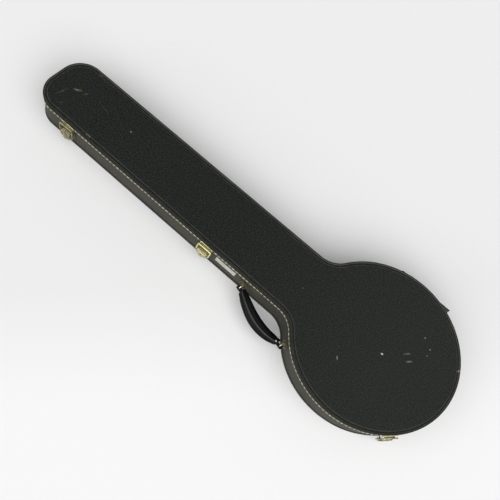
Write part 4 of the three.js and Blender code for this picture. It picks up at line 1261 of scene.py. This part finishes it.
class CASE_OT_stage(bpy.types.Operator):
    """Builds the pale floor, the soft lamps, the world and the camera"""

    bl_idname = "banjo_case.stage"
    bl_label = "Stage"

    def execute(self, context):
        scene = context.scene
        half = 6.0
        corners = [[-half, -half, 0], [half, -half, 0], [half, half, 0], [-half, half, 0]]
        floor = mesh_object("floor_sweep", corners, [[0, 1, 2, 3]])
        floor.data.materials.append(finish("floor"))

        world = bpy.data.worlds.new("soft studio")
        world.use_nodes = True
        tree = world.node_tree
        # The room lights the case at one strength, while the eye, metal and glass see a pale wall
        room_light, pale_wall = 0.27, 0.86
        rays = add(tree, "LightPath", {}).node.outputs
        seen = rays["Is Camera Ray"]
        for other in ("Is Glossy Ray", "Is Transmission Ray"):
            seen = add(tree, "Math", (seen, rays[other]), operation="MAXIMUM")
        strength = add(tree, "MapRange", (seen, 0, 1, room_light, pale_wall))
        background = {"Color": (1, 1, 1, 1), "Strength": strength}
        connect(tree, tree.nodes["Background"], background)
        scene.world = world

        # Two broad, distant lamps in front: the shadow falls behind the case and off its head.
        # Each is (name, the way it lies, how broad it looks in degrees, strength).
        lamps = (
            ("key", (0.6, -0.4, 1.3), 66, 1.92),
            ("fill", (-0.5, -0.8, 0.9), 60, 0.95),
        )
        for name, toward, breadth, strength in lamps:
            light = bpy.data.lights.new(name, "SUN")
            light.angle = math.radians(breadth)
            light.energy = strength
            lamp = bpy.data.objects.new(name, light)
            lamp.rotation_euler = Vector(toward).to_track_quat("Z", "Y").to_euler()
            lamp.location = toward
            scene.collection.objects.link(lamp)

        # The camera was fitted to the outline of the case: focal length 1.7 times the frame's width
        camera = bpy.data.cameras.new("view")
        camera.sensor_fit = "HORIZONTAL"
        camera.sensor_width = 36.0
        camera.lens = 61.2
        camera.clip_end = 30.0
        view = bpy.data.objects.new("view", camera)
        right = Vector((0.75978, 0.62443, 0.18117))
        down = Vector((0.65018, -0.73082, -0.20779))
        forward = Vector((0.00265, 0.27567, -0.96125))
        eye = (-0.33182, -0.49837, 1.76936)
        turn = Matrix([right, -down, -forward]).transposed().to_4x4()
        view.matrix_world = Matrix.Translation(eye) @ turn
        scene.collection.objects.link(view)
        scene.camera = view
        scene.view_settings.view_transform = "Standard"
        return {"FINISHED"}


class CASE_PT_sidebar(bpy.types.Panel):
    """Lists the sizes, the colours and the pieces"""

    bl_idname = "CASE_PT_sidebar"
    bl_label = "Banjo case"
    bl_space_type = "VIEW_3D"
    bl_region_type = "UI"
    bl_category = "Banjo case"

    def draw(self, context):
        layout = self.layout
        for group, title in (
            (context.scene.banjo_case_sizes, "Sizes"),
            (context.scene.banjo_case_colours, "Colours"),
        ):
            box = layout.box()
            box.label(text=title)
            for key in group.__annotations__:
                box.prop(group, key)
        for operator in OPERATORS:
            layout.operator(operator.bl_idname)


OPERATORS = (
    CASE_OT_stage,
    CASE_OT_body_shell,
    CASE_OT_lid_shell,
    CASE_OT_stitches,
    CASE_OT_linings,
    CASE_OT_hinges,
    CASE_OT_latches,
    CASE_OT_front_plate,
    CASE_OT_handle,
)
CLASSES = (CaseSizes, CaseColours, *OPERATORS, CASE_PT_sidebar)


def register():
    for cls in CLASSES:
        bpy.utils.register_class(cls)
    bpy.types.Scene.banjo_case_sizes = PointerProperty(type=CaseSizes)
    bpy.types.Scene.banjo_case_colours = PointerProperty(type=CaseColours)


def unregister():
    del bpy.types.Scene.banjo_case_colours
    del bpy.types.Scene.banjo_case_sizes
    for cls in reversed(CLASSES):
        bpy.utils.unregister_class(cls)


def main():
    register()
    for operator in OPERATORS:
        group, name = operator.bl_idname.split(".")
        getattr(getattr(bpy.ops, group), name)()


if __name__ == "__main__":
    main()
